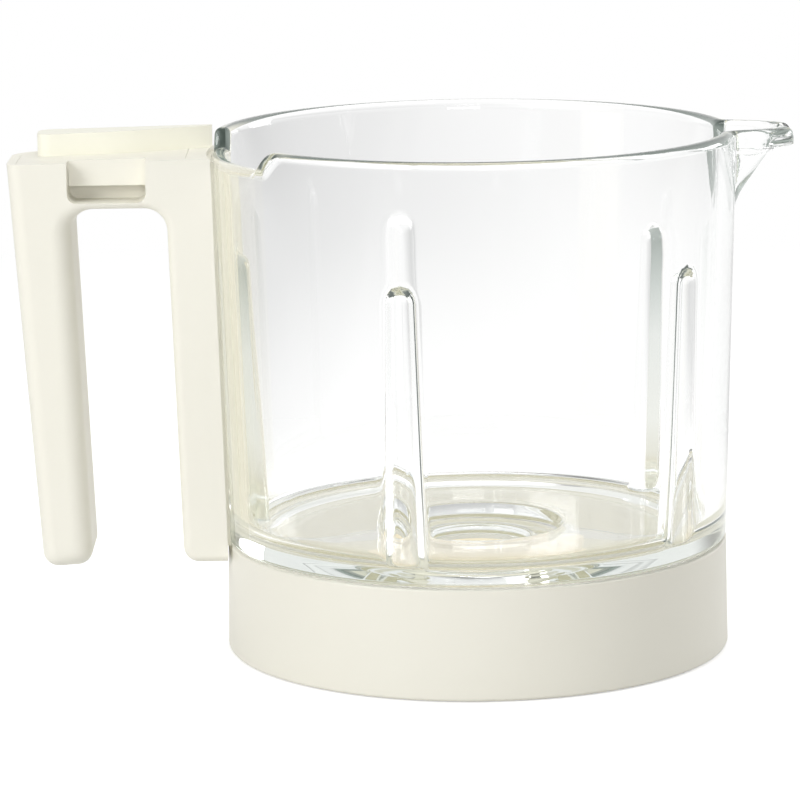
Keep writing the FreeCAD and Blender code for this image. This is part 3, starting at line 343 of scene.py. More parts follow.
@dataclass(frozen=True)
class MouldedPlastic:
    """Moulded plastic with a fine satin grain and a faint drift of tone, in waves per metre."""

    name: str
    light: Colour
    deep: Colour
    roughness: float = 0.42
    drift: float = 16.0
    grain: float = 2600.0
    flow: float = 90.0
    flow_stretch: tuple[float, float, float] = (1.0, 1.0, 0.25)
    depth: float = 0.00003
    refraction: float = 1.49
    # Share and tone of the glow painted on the finish where it is seen through glass
    through: float = 0.75
    within: Colour = (0.84, 0.82, 0.72, 1.0)

    def material(self) -> bpy.types.Material:
        """Makes the material.

        Returns:
            The material.
        """
        material, graph = new_material(self.name)
        drift = graph.noise(self.drift, 3.0)
        grain = graph.noise(self.grain)
        flow = graph.noise(self.flow, stretch=self.flow_stretch)
        colour = graph.mix(drift * 0.7 + grain * 0.3, self.light, self.deep)
        # Both noises are 0.5 in the middle, so that the two shares add 0.09 to the roughness
        graph.cover({
            "Roughness": grain * 0.1 + (drift * 0.08 + (self.roughness - 0.09)),
            "IOR": self.refraction,
            "Normal": graph.relief(grain + flow * 0.8, self.depth, 0.35),
            **graph.painted_glow_behind_glass(colour, self.through, self.within),
        })
        return material


@dataclass(frozen=True)
class PressedGlass:
    """Clear glass with the soft waviness of a pressed wall.

    Where light has been thrown to and fro inside it for long, the glass stops it and glows with a painted
    tone: pale over the base and darker towards the rim, or the tone of the handle beside it. In the first
    wall that light meets, the painted tone is darker, as painted shade. Levels are in metres.
    """

    name: str
    tint: Colour
    density: float
    # Painted tones by level: for later walls, for the first wall as painted shade, and beside the handle
    painted_glow_by_level: Stops
    near: Stops
    beside: Colour
    handle_side: tuple[float, float] = (0.050, 0.062)
    last_ray: float = 10.5
    last_mirror: float = 3.5
    first_wall: float = 1.5
    wave: float = 38.0
    wave_depth: float = 0.00012
    handling: float = 240.0
    smear: float = 0.006
    refraction: float = 1.51

    def material(self) -> bpy.types.Material:
        """Makes the material.

        Returns:
            The material.
        """
        material, graph = new_material(self.name)
        path = graph.node("ShaderNodeLightPath").outputs
        # Painted light: where a ray ends deep in the glass it turns black and glows with a painted tone
        ended = (graph.above(path["Ray Depth"], self.last_ray)
                 | graph.above(path["Glossy Depth"], self.last_mirror))
        later = graph.above(path["Transmission Depth"], self.first_wall)
        along, _, rise = graph.split(graph.wire("ShaderNodeTexCoord", "Object"))
        inside = graph.mix(later, graph.ramp(rise, self.near), graph.ramp(rise, self.painted_glow_by_level))
        inside = graph.mix(graph.step(-1.0 * along, *self.handle_side), inside, self.beside)
        body = graph.node("ShaderNodeVolumeAbsorption", None, {"Color": self.tint, "Density": self.density})
        graph.cover({
            "Base Color": 1.0 - ended,
            "Metallic": ended,
            "Roughness": graph.noise(self.handling) * self.smear,
            "IOR": self.refraction,
            "Transmission Weight": 1.0,
            "Normal": graph.relief(graph.noise(self.wave, 1.0), self.wave_depth, 0.2),
            "Emission Color": graph.mix(ended, BLACK, inside),
            "Emission Strength": 1.0,
        }, {"Volume": body.outputs[0]})
        return material


@dataclass(frozen=True)
class SoftRubber:
    """Matte silicone, a little cloudy, in waves per metre."""

    name: str
    light: Colour
    deep: Colour
    clear: float = 0.0
    # Share and tone of the glow painted on the finish where it is seen through glass
    through: float = 0.7
    within: Colour = (0.84, 0.83, 0.75, 1.0)
    cloud: float = 120.0
    dust: float = 1800.0
    depth: float = 0.00003
    refraction: float = 1.41

    def material(self) -> bpy.types.Material:
        """Makes the material.

        Returns:
            The material.
        """
        material, graph = new_material(self.name)
        dust = graph.noise(self.dust)
        colour = graph.mix(graph.noise(self.cloud, 3.0), self.light, self.deep)
        graph.cover({
            "Roughness": dust * 0.12 + 0.5,
            "IOR": self.refraction,
            "Transmission Weight": self.clear,
            "Normal": graph.relief(dust, self.depth, 0.3),
            **graph.painted_glow_behind_glass(colour, self.through, self.within),
        })
        return material


@dataclass(frozen=True)
class TurnedSteel:
    """Bright steel with fine marks and a faint change of tone, in waves per metre."""

    name: str
    light: Colour
    deep: Colour
    marks: float = 5200.0
    shade: float = 300.0
    depth: float = 0.00002

    def material(self) -> bpy.types.Material:
        """Makes the material.

        Returns:
            The material.
        """
        material, graph = new_material(self.name)
        marks = graph.noise(self.marks)
        graph.cover({
            "Base Color": graph.mix(graph.noise(self.shade), self.light, self.deep),
            "Metallic": 1.0,
            "Roughness": marks * 0.15 + 0.24,
            "Normal": graph.relief(marks, self.depth, 0.3),
        })
        return material


class Slot(Enum):
    """Material slots of the record for glass and steel."""

    GLASS = "clear_glass"
    STEEL = "screw_steel"


# through and within set each finish's painted glow where it is seen through glass
IVORY = MouldedPlastic("ivory_satin", tone(240, 238, 227), tone(236, 233, 219),
                       within=(0.72, 0.70, 0.53, 1.0))
GRIP = MouldedPlastic("pale_ivory_satin", tone(246, 244, 233), tone(243, 240, 226),
                      through=0.95, within=(0.88, 0.86, 0.76, 1.0))
# A lighter copy of the handle's ivory for the block on top: painted light
LIT_COPY_IVORY = MouldedPlastic("painted_lit_ivory_satin", tone(250, 249, 236), tone(248, 246, 229))
# A warmer copy of the ivory for the hub: its tan is painted shade of the hollow under the bore
SHADE_WARMED_IVORY = MouldedPlastic("shade_warmed_ivory_satin", tone(243, 235, 214), tone(237, 227, 201), roughness=0.45,
                     within=(0.98, 0.96, 0.84, 1.0))
GLASS = PressedGlass(
    "clear_pressed_glass", tint=tone(216, 224, 218), density=6.0,
    painted_glow_by_level=((0.030, tone(228, 224, 206)), (0.046, tone(246, 246, 240)), (0.070, tone(238, 240, 237)),
            (0.084, tone(206, 212, 208)), (0.102, tone(146, 156, 150)), (0.136, tone(150, 160, 154))),
    near=((0.032, tone(222, 219, 202)), (0.040, tone(196, 197, 188)), (0.052, tone(120, 126, 122)),
          (0.100, tone(84, 92, 88)), (0.114, tone(124, 132, 128)), (0.127, tone(160, 168, 163)),
          (0.136, tone(176, 184, 179))),
    beside=tone(238, 234, 218))
SOFT = SoftRubber("white_soft_ring", tone(236, 236, 232), tone(224, 224, 219))
PAD = SoftRubber("cloudy_pad", tone(246, 244, 233), tone(240, 238, 224), clear=0.25, through=0.92)
STEEL = TurnedSteel("bright_screw", tone(196, 196, 192), tone(150, 150, 146))
Finish = MouldedPlastic | PressedGlass | SoftRubber | TurnedSteel


class Shelf:
    """Makes each finish once and lays it on pieces."""

    def __init__(self) -> None:
        """Starts with no finish made."""
        self.made: dict[str, bpy.types.Material] = {}

    def dress(self, piece: bpy.types.Object, finish: Finish) -> None:
        """Gives a piece one finish all over.

        Args:
            piece: the piece.
            finish: the finish.
        """
        if finish.name not in self.made:
            self.made[finish.name] = finish.material()
        piece.data.materials.clear()
        piece.data.materials.append(self.made[finish.name])
        log.info("%s dressed in %s", piece.name, finish.name)


def ease(value: np.ndarray | float, low: float, high: float) -> np.ndarray:
    """Soft step.

    Args:
        value: where the step is read.
        low: where it starts to rise.
        high: where it is full.

    Returns:
        The step, from 0 to 1.
    """
    share = np.clip((value - low) / (high - low), 0.0, 1.0)
    return share * share * (3.0 - 2.0 * share)


def blend_out(first: np.ndarray, second: np.ndarray, soft: np.ndarray | float) -> np.ndarray:
    """Larger of two radii with a rounded inner corner where they meet.

    Args:
        first: one radius.
        second: the other radius.
        soft: width of the rounding in millimetres.

    Returns:
        The rounded outer envelope.
    """
    share = np.clip(0.5 + 0.5 * (first - second) / soft, 0.0, 1.0)
    return second + (first - second) * share + soft * share * (1.0 - share)


def off_from(angle: np.ndarray, place: float) -> np.ndarray:
    """Angles measured from a place round the bowl.

    Args:
        angle: angles in radians.
        place: the place in degrees.

    Returns:
        The angles from it in radians, at most half a turn either way.
    """
    return (angle - math.radians(place) + math.pi) % (2 * math.pi) - math.pi


@dataclass(frozen=True)
class Outline:
    """Level outline of the spout: two straight sides that close on a round tip."""

    root: float
    half: float
    end: float
    tip: float

    def toward(self, other: "Outline", share: np.ndarray) -> "Outline":
        """Mixes two outlines.

        Args:
            other: the outline at a share of 1.
            share: shares, one for each point.

        Returns:
            An outline whose sizes hold one value for each point.
        """
        def mixed(start: float, stop: float) -> np.ndarray:
            """One size at every share."""
            return start + (stop - start) * share

        return Outline(mixed(self.root, other.root), mixed(self.half, other.half),
                       mixed(self.end, other.end), mixed(self.tip, other.tip))

    def reach(self, angle: np.ndarray) -> np.ndarray:
        """Radius of the outline from the axis of the bowl.

        Args:
            angle: angles from the middle of the spout, in radians.

        Returns:
            The radius, or 0 beside the outline.
        """
        turn = np.abs(angle)
        middle = self.end - self.tip
        span = np.hypot(middle - self.root, self.half)
        lean = np.arctan2(-self.half, middle - self.root) + np.arcsin(self.tip / span)
        run = np.sqrt(span ** 2 - self.tip ** 2)
        along, across = np.cos(lean), np.sin(lean)
        start = np.arctan2(self.half + run * across, self.root + run * along)
        side = (self.root * across - self.half * along) / (np.cos(turn) * across - np.sin(turn) * along)
        nose = middle * np.cos(turn) + np.sqrt(np.maximum(self.tip ** 2 - (middle * np.sin(turn)) ** 2, 0.0))
        inside = turn < np.arctan2(self.half, self.root)
        return np.where(turn < start, nose, np.where(inside, side, 0.0))


class Side(Enum):
    """Faces of the glass section."""

    INNER = 0
    RIM = 1
    OUTER = 2
    FOOT = 3


class Crowd(NamedTuple):
    """Stretch of the bowl with more columns of points: middle and half width in degrees, and weight."""

    middle: float
    half: float
    weight: float


@dataclass
class Pressing:
    """Points of the glass while it is pressed: angle, radius, level and face of each."""

    angle: np.ndarray
    radius: np.ndarray
    level: np.ndarray
    faces: np.ndarray

    def on(self, side: Side) -> np.ndarray:
        """Mask of the points on one face."""
        return self.faces == side.value


@dataclass
class GlassBowl:
    """Pressed glass: wall with draft, ribs, spout, rim notch, stepped floor and foot, in millimetres."""

    # Floor, with the well round the bore; the well's side is given by radius and rise over its floor
    bore: float = 13.8
    bore_chamfer: float = 0.6
    under: float = 25.0
    under_rows: tuple[float, ...] = (44.0, 32.0, 22.0)
    well_floor: float = 28.0
    well_radius: float = 22.5
    well_lean: float = 15.0
    well_side: tuple[Point, ...] = ((17.5, 0.0), (20.0, 0.0), (21.1, 0.25), (21.7, 1.6), (22.1, 2.9))
    floor: float = 32.0
    floor_rows: tuple[float, ...] = (27.0, 33.0, 39.0, 44.0, 48.0, 51.5)
    corner: float = 6.0
    edge: float = 0.9
    # Wall and rim
    inner_foot: float = 60.5
    inner_rim: float = 63.9
    outer_foot: float = 65.5
    outer_rim: float = 68.1
    height: float = 135.8
    rim_round: float = 1.8
    rim_row: float = 2.0
    shoulder: float = 28.8
    shoulder_round: float = 1.4
    shoulder_row: float = 62.6
    # Foot and its lugs
    foot_outside: float = 60.5
    foot_inside: float = 56.1
    foot_level: float = 12.6
    foot_round: float = 0.5
    foot_rows: tuple[float, ...] = (24.0, 19.5, 17.4, 16.9, 16.5, 15.2, 13.9, 13.5)
    foot_inner_row: float = 18.0
    lug_reach: float = 62.5
    lug_half: float = 12.0
    lug_side: float = 0.5
    lug_span: tuple[float, float] = (13.5, 16.9)
    # Ribs; a rib's columns of points draw closer near it, and spread again above its crown
    rib_angles: tuple[float, ...] = (36.0, 108.0, 180.0, 252.0, 324.0)
    rib_radius: float = 3.4
    rib_foot: float = 5.0
    rib_axis: float = 60.1
    rib_crown: float = 100.6
    rib_soft: tuple[float, float] = (2.6, 4.2)
    rib_inmost: float = 46.0
    gather_near: tuple[float, float] = (8.0, 18.0)
    gather_fade: tuple[float, float] = (5.0, 21.0)
    # Spout
    lip_under: float = 130.4
    lip_edge: tuple[float, float] = (-1.5, 1.3)
    keel_foot: float = 115.3
    keel_soft: float = 2.6
    lip: Outline = Outline(59.7, 15.0, 83.1, 12.0)
    keel_top: Outline = Outline(59.7, 12.2, 77.5, 10.6)
    keel_end: Outline = Outline(59.7, 6.0, 67.0, 4.0)
    channel_top: Outline = Outline(59.7, 11.6, 79.7, 8.4)
    channel_end: Outline = Outline(59.7, 3.0, 63.2, 2.0)
    channel_foot: float = 117.4
    channel_over: float = 1.0
    channel_soft: float = 2.0
    groove_radius: float = 4.0
    groove_lift: float = 1.2
    groove_soft: float = 0.8
    groove_start: tuple[float, float] = (76.0, 79.0)
    groove_depth: tuple[float, float] = (6.5, 0.3)
    # Notch in the rim beside the handle, by places on Y
    notch_drop: float = 5.2
    notch_near: tuple[float, float] = (-43.6, -37.2)
    notch_far: tuple[float, float] = (7.2, 10.4)
    notch_foot: float = 116.0
    notch_head: float = 5.0
    wall_lean: float = 0.028
    # Rail for the handle
    rail_reach: float = 71.5
    rail_half: float = 4.4
    rail_side: tuple[float, float] = (-0.5, 0.3)
    rail_span: tuple[float, float] = (40.2, 103.8)
    rail_end: tuple[float, float] = (0.6, 0.4)
    # Columns of points round the bowl, and where they stand closer
    steps: int = 540
    weld: float = 0.01
    ring_points: int = 7201
    crowd_soft: float = 0.2
    rib_crowd: tuple[float, float] = (5.8, 4.5)
    crowds: tuple[Crowd, ...] = (
        Crowd(0.0, 18.0, 2.0), Crowd(0.0, 5.0, 2.5), Crowd(11.5, 4.5, 3.5), Crowd(348.5, 4.5, 3.5),
        Crowd(217.5, 5.0, 3.0), Crowd(172.5, 3.0, 6.0), Crowd(176.4, 1.2, 5.0), Crowd(183.6, 1.2, 5.0))
    finish: PressedGlass = GLASS

    def inner_at(self, level: np.ndarray) -> np.ndarray:
        """Inside radius of the plain wall at a level."""
        flare = self.inner_rim - self.inner_foot
        return self.inner_foot + flare * (level - self.floor) / (self.height - self.floor)

    def outer_at(self, level: np.ndarray) -> np.ndarray:
        """Outside radius of the plain wall at a level."""
        flare = self.outer_rim - self.outer_foot
        return self.outer_foot + flare * (level - self.shoulder) / (self.height - self.shoulder)

    @staticmethod
    def arc(centre: Point, radius: float, start: float, stop: float, count: int) -> list[Point]:
        """Points on an arc of the section.

        Args:
            centre: radius and level of the centre.
            radius: radius of the arc.
            start: first angle in degrees.
            stop: last angle in degrees.
            count: number of runs.

        Returns:
            The points, both ends included.
        """
        turns = [math.radians(start + (stop - start) * k / count) for k in range(count + 1)]
        return [(centre[0] + radius * math.cos(t), centre[1] + radius * math.sin(t)) for t in turns]

    @staticmethod
    def rows(*bands: tuple[float, float, int]) -> list[float]:
        """Levels of rows of points.

        Args:
            bands: first level, last level and number of rows of each band.

        Returns:
            The levels, evenly spaced in each band.
        """
        return [float(level) for band in bands for level in np.linspace(*band)]

    def inside(self) -> list[Point]:
        """Section from the bore over the floor and up the inside, with more rows at the ribs' crowns.

        Returns:
            Radius and level of each point.
        """
        start = self.floor + self.corner
        reach = float(self.inner_at(start)) - self.corner
        top = self.height - self.rim_row
        levels = self.rows((start + 2.0, 92.0, 9), (94.0, 106.0, 13), (109.0, 113.0, 2),
                           (116.5, top - 1.6, 13), (top - 0.6, top, 2))
        return [
            (self.bore, self.under + self.bore_chamfer),
            *self.arc((self.bore + self.edge, self.well_floor - self.edge), self.edge, 180, 90, 4),
            *((radius, self.well_floor + rise) for radius, rise in self.well_side),
            *self.arc((self.well_radius + self.edge, self.floor - self.edge), self.edge,
                      180 - self.well_lean, 90, 4),
            *((radius, self.floor) for radius in self.floor_rows),
            *self.arc((reach, start), self.corner, -90, 0, 10),
            *((float(self.inner_at(level)), level) for level in levels),
        ]

    def rim(self) -> list[Point]:
        """Section over the rounded rim.

        Returns:
            Radius and level of each point.
        """
        top = self.height - self.rim_round
        return [*self.arc((self.inner_rim + self.rim_round, top), self.rim_round, 180, 90, 7),
                *self.arc((self.outer_rim - self.rim_round, top), self.rim_round, 90, 0, 7)]

    def outside(self) -> list[Point]:
        """Section down the outside, with more rows at the spout and at the ends of the rail.

        Returns:
            Radius and level of each point.
        """
        low, high = self.rail_span
        levels = self.rows((self.height - self.rim_row, 128.2, 14), (126.8, 113.0, 11), (108.0, 108.0, 1),
                           (high + 0.6, high - 0.6, 4), (96.0, 48.0, 6), (low + 0.6, low - 0.6, 4),
                           (36.0, 32.0, 2))
        centre = (self.outer_foot - self.shoulder_round, self.shoulder + self.shoulder_round)
        return [*((float(self.outer_at(level)), level) for level in levels),
                *self.arc(centre, self.shoulder_round, 0, -90, 6)]

    def foot(self) -> list[Point]:
        """Section round the foot and back under the floor to the bore.

        Returns:
            Radius and level of each point.
        """
        level = self.foot_level + self.foot_round
        return [
            (self.shoulder_row, self.shoulder),
            *self.arc((self.foot_outside + self.edge, self.shoulder - self.edge), self.edge, 90, 180, 3),
            *((self.foot_outside, row) for row in self.foot_rows),
            *self.arc((self.foot_outside - self.foot_round, level), self.foot_round, 0, -90, 3),
            *self.arc((self.foot_inside + self.foot_round, level), self.foot_round, -90, -180, 3),
            (self.foot_inside, self.foot_inner_row),
            *self.arc((self.foot_inside - self.edge, self.under - self.edge), self.edge, 0, 90, 3),
            *((radius, self.under) for radius in self.under_rows),
            (self.bore + self.bore_chamfer, self.under),
        ]

    def section(self) -> list[tuple[float, float, Side]]:
        """Closed section of the glass, from the bore over the rim to the foot.

        Returns:
            Radius, level and face of each point.
        """
        runs = ((Side.INNER, self.inside()), (Side.RIM, self.rim()),
                (Side.OUTER, self.outside()), (Side.FOOT, self.foot()))
        return [(radius, level, side) for side, run in runs for radius, level in run]

    def spread(self, turn: np.ndarray) -> np.ndarray:
        """Moves evenly spaced angles closer together at ribs, spout, notch and rail.

        Args:
            turn: even angles in radians.

        Returns:
            The angles after the move.
        """
        ring = np.linspace(0.0, 2 * math.pi, self.ring_points)
        crowd = np.full_like(ring, 1.0)
        for middle, half, weight in (*(Crowd(a, *self.rib_crowd) for a in self.rib_angles), *self.crowds):
            away = np.degrees(np.abs(off_from(ring, middle)))
            low, high = half * (1.0 - self.crowd_soft), half * (1.0 + self.crowd_soft)
            crowd += weight * (1.0 - ease(away, low, high))
        total = np.concatenate(([0.0], np.cumsum((crowd[1:] + crowd[:-1]) / 2)))
        return np.interp(turn % (2 * math.pi), total / total[-1] * 2 * math.pi, ring)

    def rib_thick(self, level: np.ndarray) -> np.ndarray:
        """Radius of a rib at a level, below its crown."""
        down = np.clip((self.rib_crown - level) / (self.rib_crown - self.floor), 0.0, 1.0)
        return self.rib_radius + (self.rib_foot - self.rib_radius) * down

    def gather(self, angle: np.ndarray, level: np.ndarray) -> np.ndarray:
        """Moves angles closer to a rib where it is thinner, so that rows of points run along its sides.

        Args:
            angle: angles in radians.
            level: levels in millimetres.

        Returns:
            The angles after the move.
        """
        share = self.rib_thick(level) / self.rib_foot
        share = share + (1.0 - share) * ease(level - self.rib_crown, *self.gather_fade)
        for place in self.rib_angles:
            off = off_from(angle, place)
            near = 1.0 - ease(np.degrees(np.abs(off)), *self.gather_near)
            angle = angle - off * (1.0 - share) * near
        return angle

    def rib_reach(self, angle: np.ndarray, level: np.ndarray) -> np.ndarray:
        """Radius of the crest side of the nearest rib.

        Args:
            angle: angles in radians.
            level: levels in millimetres.

        Returns:
            The radius, large where there is no rib.
        """
        away = np.min([np.abs(off_from(angle, place)) for place in self.rib_angles], axis=0)
        axis = self.rib_axis - self.inner_foot + self.inner_at(level)
        above = np.maximum(level - self.rib_crown, 0.0)
        root = self.rib_thick(level) ** 2 - above ** 2 - (axis * np.sin(away)) ** 2
        return axis * np.cos(away) - np.sign(root) * np.sqrt(np.abs(root))

    def with_ribs(self, shape: Pressing) -> np.ndarray:
        """Radii after the ribs are pressed into the inside.

        Args:
            shape: the points before.

        Returns:
            The radii.
        """
        crown_soft, foot_soft = self.rib_soft
        rise = ease(shape.level, self.floor + self.corner, self.floor + 4 * self.corner)
        soft = foot_soft + (crown_soft - foot_soft) * rise
        rib = -blend_out(-shape.radius, -self.rib_reach(shape.angle, shape.level), soft)
        ribbed = shape.on(Side.INNER) & (shape.level > self.floor - HAIR) & (shape.radius > self.rib_inmost)
        return np.where(ribbed, np.minimum(rib, shape.radius), shape.radius)

    def spout_moves(self, shape: Pressing) -> np.ndarray:
        """How far the spout draws each point out: the inside by its channel, the outside by keel and lip.

        Args:
            shape: the points before.

        Returns:
            The moves.
        """
        offset, level = off_from(shape.angle, 0.0), np.minimum(shape.level, self.height)
        wall = self.inner_at(level)
        share = (level - self.channel_foot) / (self.height + self.channel_over - self.channel_foot)
        channel = self.channel_end.toward(self.channel_top, np.clip(share, 0.0, 1.0)).reach(offset)
        channel = np.where(level > self.channel_foot, channel, 0.0)
        inside = blend_out(wall, channel, self.channel_soft) - wall
        wall = self.outer_at(level)
        share = (level - self.keel_foot) / (self.lip_under - self.keel_foot)
        keel = self.keel_end.toward(self.keel_top, np.clip(share, 0.0, 1.0)).reach(offset)
        keel = np.where(level > self.keel_foot, keel, 0.0)
        lift = ease(level - self.lip_under, *self.lip_edge)
        spout = keel + (np.maximum(self.lip.reach(offset), keel) - keel) * lift
        outside = blend_out(wall, spout, self.keel_soft) - wall
        across = np.clip((shape.radius - self.inner_rim) / (self.outer_rim - self.inner_rim), 0.0, 1.0)
        return np.select([shape.on(Side.INNER), shape.on(Side.RIM), shape.on(Side.OUTER)],
                         [inside * (level > self.floor + self.corner),
                          inside + (outside - inside) * across, outside], 0.0)

    def with_rail(self, shape: Pressing) -> np.ndarray:
        """Radii after the rail for the handle is pressed out of the outside.

        Args:
            shape: the points before.

        Returns:
            The radii.
        """
        beyond = np.abs(shape.radius * np.sin(shape.angle)) - self.rail_half
        low, high = self.rail_span
        past, within = self.rail_end
        bar = ((1.0 - ease(beyond, *self.rail_side)) * ease(shape.level, low - past, low + within)
               * (1.0 - ease(shape.level, high - within, high + past)))
        rail = self.rail_reach / np.maximum(np.abs(np.cos(shape.angle)), HAIR)
        behind = shape.on(Side.OUTER) & (np.cos(shape.angle) < 0.0)
        return np.where(behind, shape.radius + np.maximum(rail - shape.radius, 0.0) * bar, shape.radius)

    def with_lugs(self, shape: Pressing) -> np.ndarray:
        """Radii after the four lugs are pressed out of the foot.

        Args:
            shape: the points before.

        Returns:
            The radii.
        """
        quarter = np.degrees(np.abs((shape.angle + math.pi / 4) % (math.pi / 2) - math.pi / 4))
        low, high = self.lug_span
        lug = (shape.on(Side.FOOT) & (shape.radius > self.foot_outside - HAIR)
               & (shape.level < high + HAIR) & (shape.level > low - HAIR))
        share = 1.0 - ease(quarter, self.lug_half - self.lug_side, self.lug_half)
        return np.where(lug, shape.radius + (self.lug_reach - self.foot_outside) * share, shape.radius)

    def notch(self, across: np.ndarray, along: np.ndarray) -> np.ndarray:
        """Depth of the rim notch.

        Args:
            across: places on Y in millimetres.
            along: places on X in millimetres.

        Returns:
            How far the rim drops.
        """
        opened = ease(across, *self.notch_near) * (1.0 - ease(across, *self.notch_far))
        return np.where(along < 0.0, self.notch_drop * opened, 0.0)

    def with_notch(self, shape: Pressing) -> tuple[np.ndarray, np.ndarray]:
        """Radii and levels after the rim is lowered at the notch.

        Args:
            shape: the points before.

        Returns:
            The radii and the levels.
        """
        drop = self.notch(shape.radius * np.sin(shape.angle), shape.radius * np.cos(shape.angle))
        drop = drop * ease(shape.level, self.notch_foot, self.height - self.notch_head)
        return shape.radius - drop * self.wall_lean, shape.level - drop

    def groove(self, shape: Pressing) -> np.ndarray:
        """Depth of the groove at the tip of the spout.

        Args:
            shape: the points before.

        Returns:
            How far each point near the tip drops.
        """
        flat = shape.radius * np.sin(shape.angle)
        hollow = np.sqrt(np.maximum(self.groove_radius ** 2 - flat ** 2, 0.0)) - self.groove_lift
        depth = blend_out(hollow, np.zeros_like(hollow), self.groove_soft) - self.groove_soft / 4
        return np.maximum(depth, 0.0) * ease(shape.radius, *self.groove_start) * (np.cos(shape.angle) > 0.0)

    def press(self, places: np.ndarray, faces: np.ndarray, rows: np.ndarray) -> np.ndarray:
        """Presses ribs, spout, rail, lugs and notch into the spun wall.

        Args:
            places: points of the spun wall in millimetres.
            faces: face of the section that each point is on.
            rows: radius and level of each point in the section.

        Returns:
            The points after pressing.
        """
        radius, level = rows[:, 0], rows[:, 1]
        angle = self.spread(np.arctan2(places[:, 1], places[:, 0]))
        angle = np.where(faces == Side.INNER.value, self.gather(angle, level), angle)
        shape = Pressing(angle, radius, level, faces)
        moves = self.spout_moves(shape)
        shape.radius = self.with_ribs(shape) + moves
        shape.radius = self.with_rail(shape)
        shape.radius = self.with_lugs(shape)
        shape.radius, shape.level = self.with_notch(shape)
        deep, shallow = self.groove_depth
        fade = ease(level, self.height - deep, self.height - shallow)
        shape.level = shape.level - self.groove(shape) * fade
        return np.column_stack((shape.radius * np.cos(angle), shape.radius * np.sin(angle), shape.level))

    def build(self) -> bpy.types.Object:
        """Spins the section and presses the wall.

        Returns:
            The glass.
        """
        section = self.section()
        bpy.ops.object.select_all(action="DESELECT")
        bpy.ops.mesh.primitive_circle_add(vertices=len(section), radius=self.outer_rim * MM)
        piece = bpy.context.active_object
        piece.name = "pressed_glass"
        for vertex, (radius, level, _) in zip(piece.data.vertices, section):
            vertex.co = (radius * MM, 0.0, level * MM)
        bpy.ops.object.modifier_add(type="SCREW")
        turning = piece.modifiers[0]
        turning.axis = "Z"
        turning.angle = 2 * math.pi
        turning.steps = turning.render_steps = self.steps
        turning.use_merge_vertices = True
        turning.merge_threshold = self.weld * MM
        bpy.ops.object.modifier_apply(modifier=turning.name)
        bpy.ops.object.mode_set(mode="EDIT")
        bpy.ops.mesh.select_all(action="SELECT")
        bpy.ops.mesh.normals_make_consistent(inside=False)
        bpy.ops.object.mode_set(mode="OBJECT")
        places = np.empty(len(piece.data.vertices) * 3)
        piece.data.vertices.foreach_get("co", places)
        places = places.reshape(-1, 3) / MM
        rows = np.array([(r, z) for r, z, _ in section])
        kinds = np.array([side.value for _, _, side in section])
        found = np.column_stack((np.hypot(places[:, 0], places[:, 1]), places[:, 2]))
        nearest = np.argmin(((found[:, None, :] - rows[None, :, :]) ** 2).sum(axis=2), axis=1)
        pressed = self.press(places, kinds[nearest], rows[nearest])
        piece.data.vertices.foreach_set("co", (pressed * MM).ravel())
        piece.data.update()
        bpy.ops.object.shade_smooth()
        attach(piece, "bowl")
        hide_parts("glass_bowl")
        log.info("%s spun and pressed: %d faces", piece.name, len(piece.data.polygons))
        return piece

    def dress(self, shelf: Shelf, piece: bpy.types.Object) -> None:
        """Dresses the glass, and the plain wall that it stands for.

        Args:
            shelf: the finishes.
            piece: the pressed glass.
        """
        for part in (piece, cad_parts["glass_bowl"]):
            shelf.dress(part, self.finish)


@dataclass
class Handle:
    """Grip, bridge and leg beside the glass, with the block on top and the pad behind the leg."""

    shell: MouldedPlastic = GRIP
    block: MouldedPlastic = LIT_COPY_IVORY
    pad: SoftRubber = PAD

    def dress(self, shelf: Shelf) -> None:
        """Dresses the pieces of the handle.

        Args:
            shelf: the finishes.
        """
        for name, finish in (("handle_shell", self.shell), ("handle_cap", self.shell),
                             ("lid_stop", self.block), ("handle_pad", self.pad)):
            shelf.dress(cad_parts[name], finish)


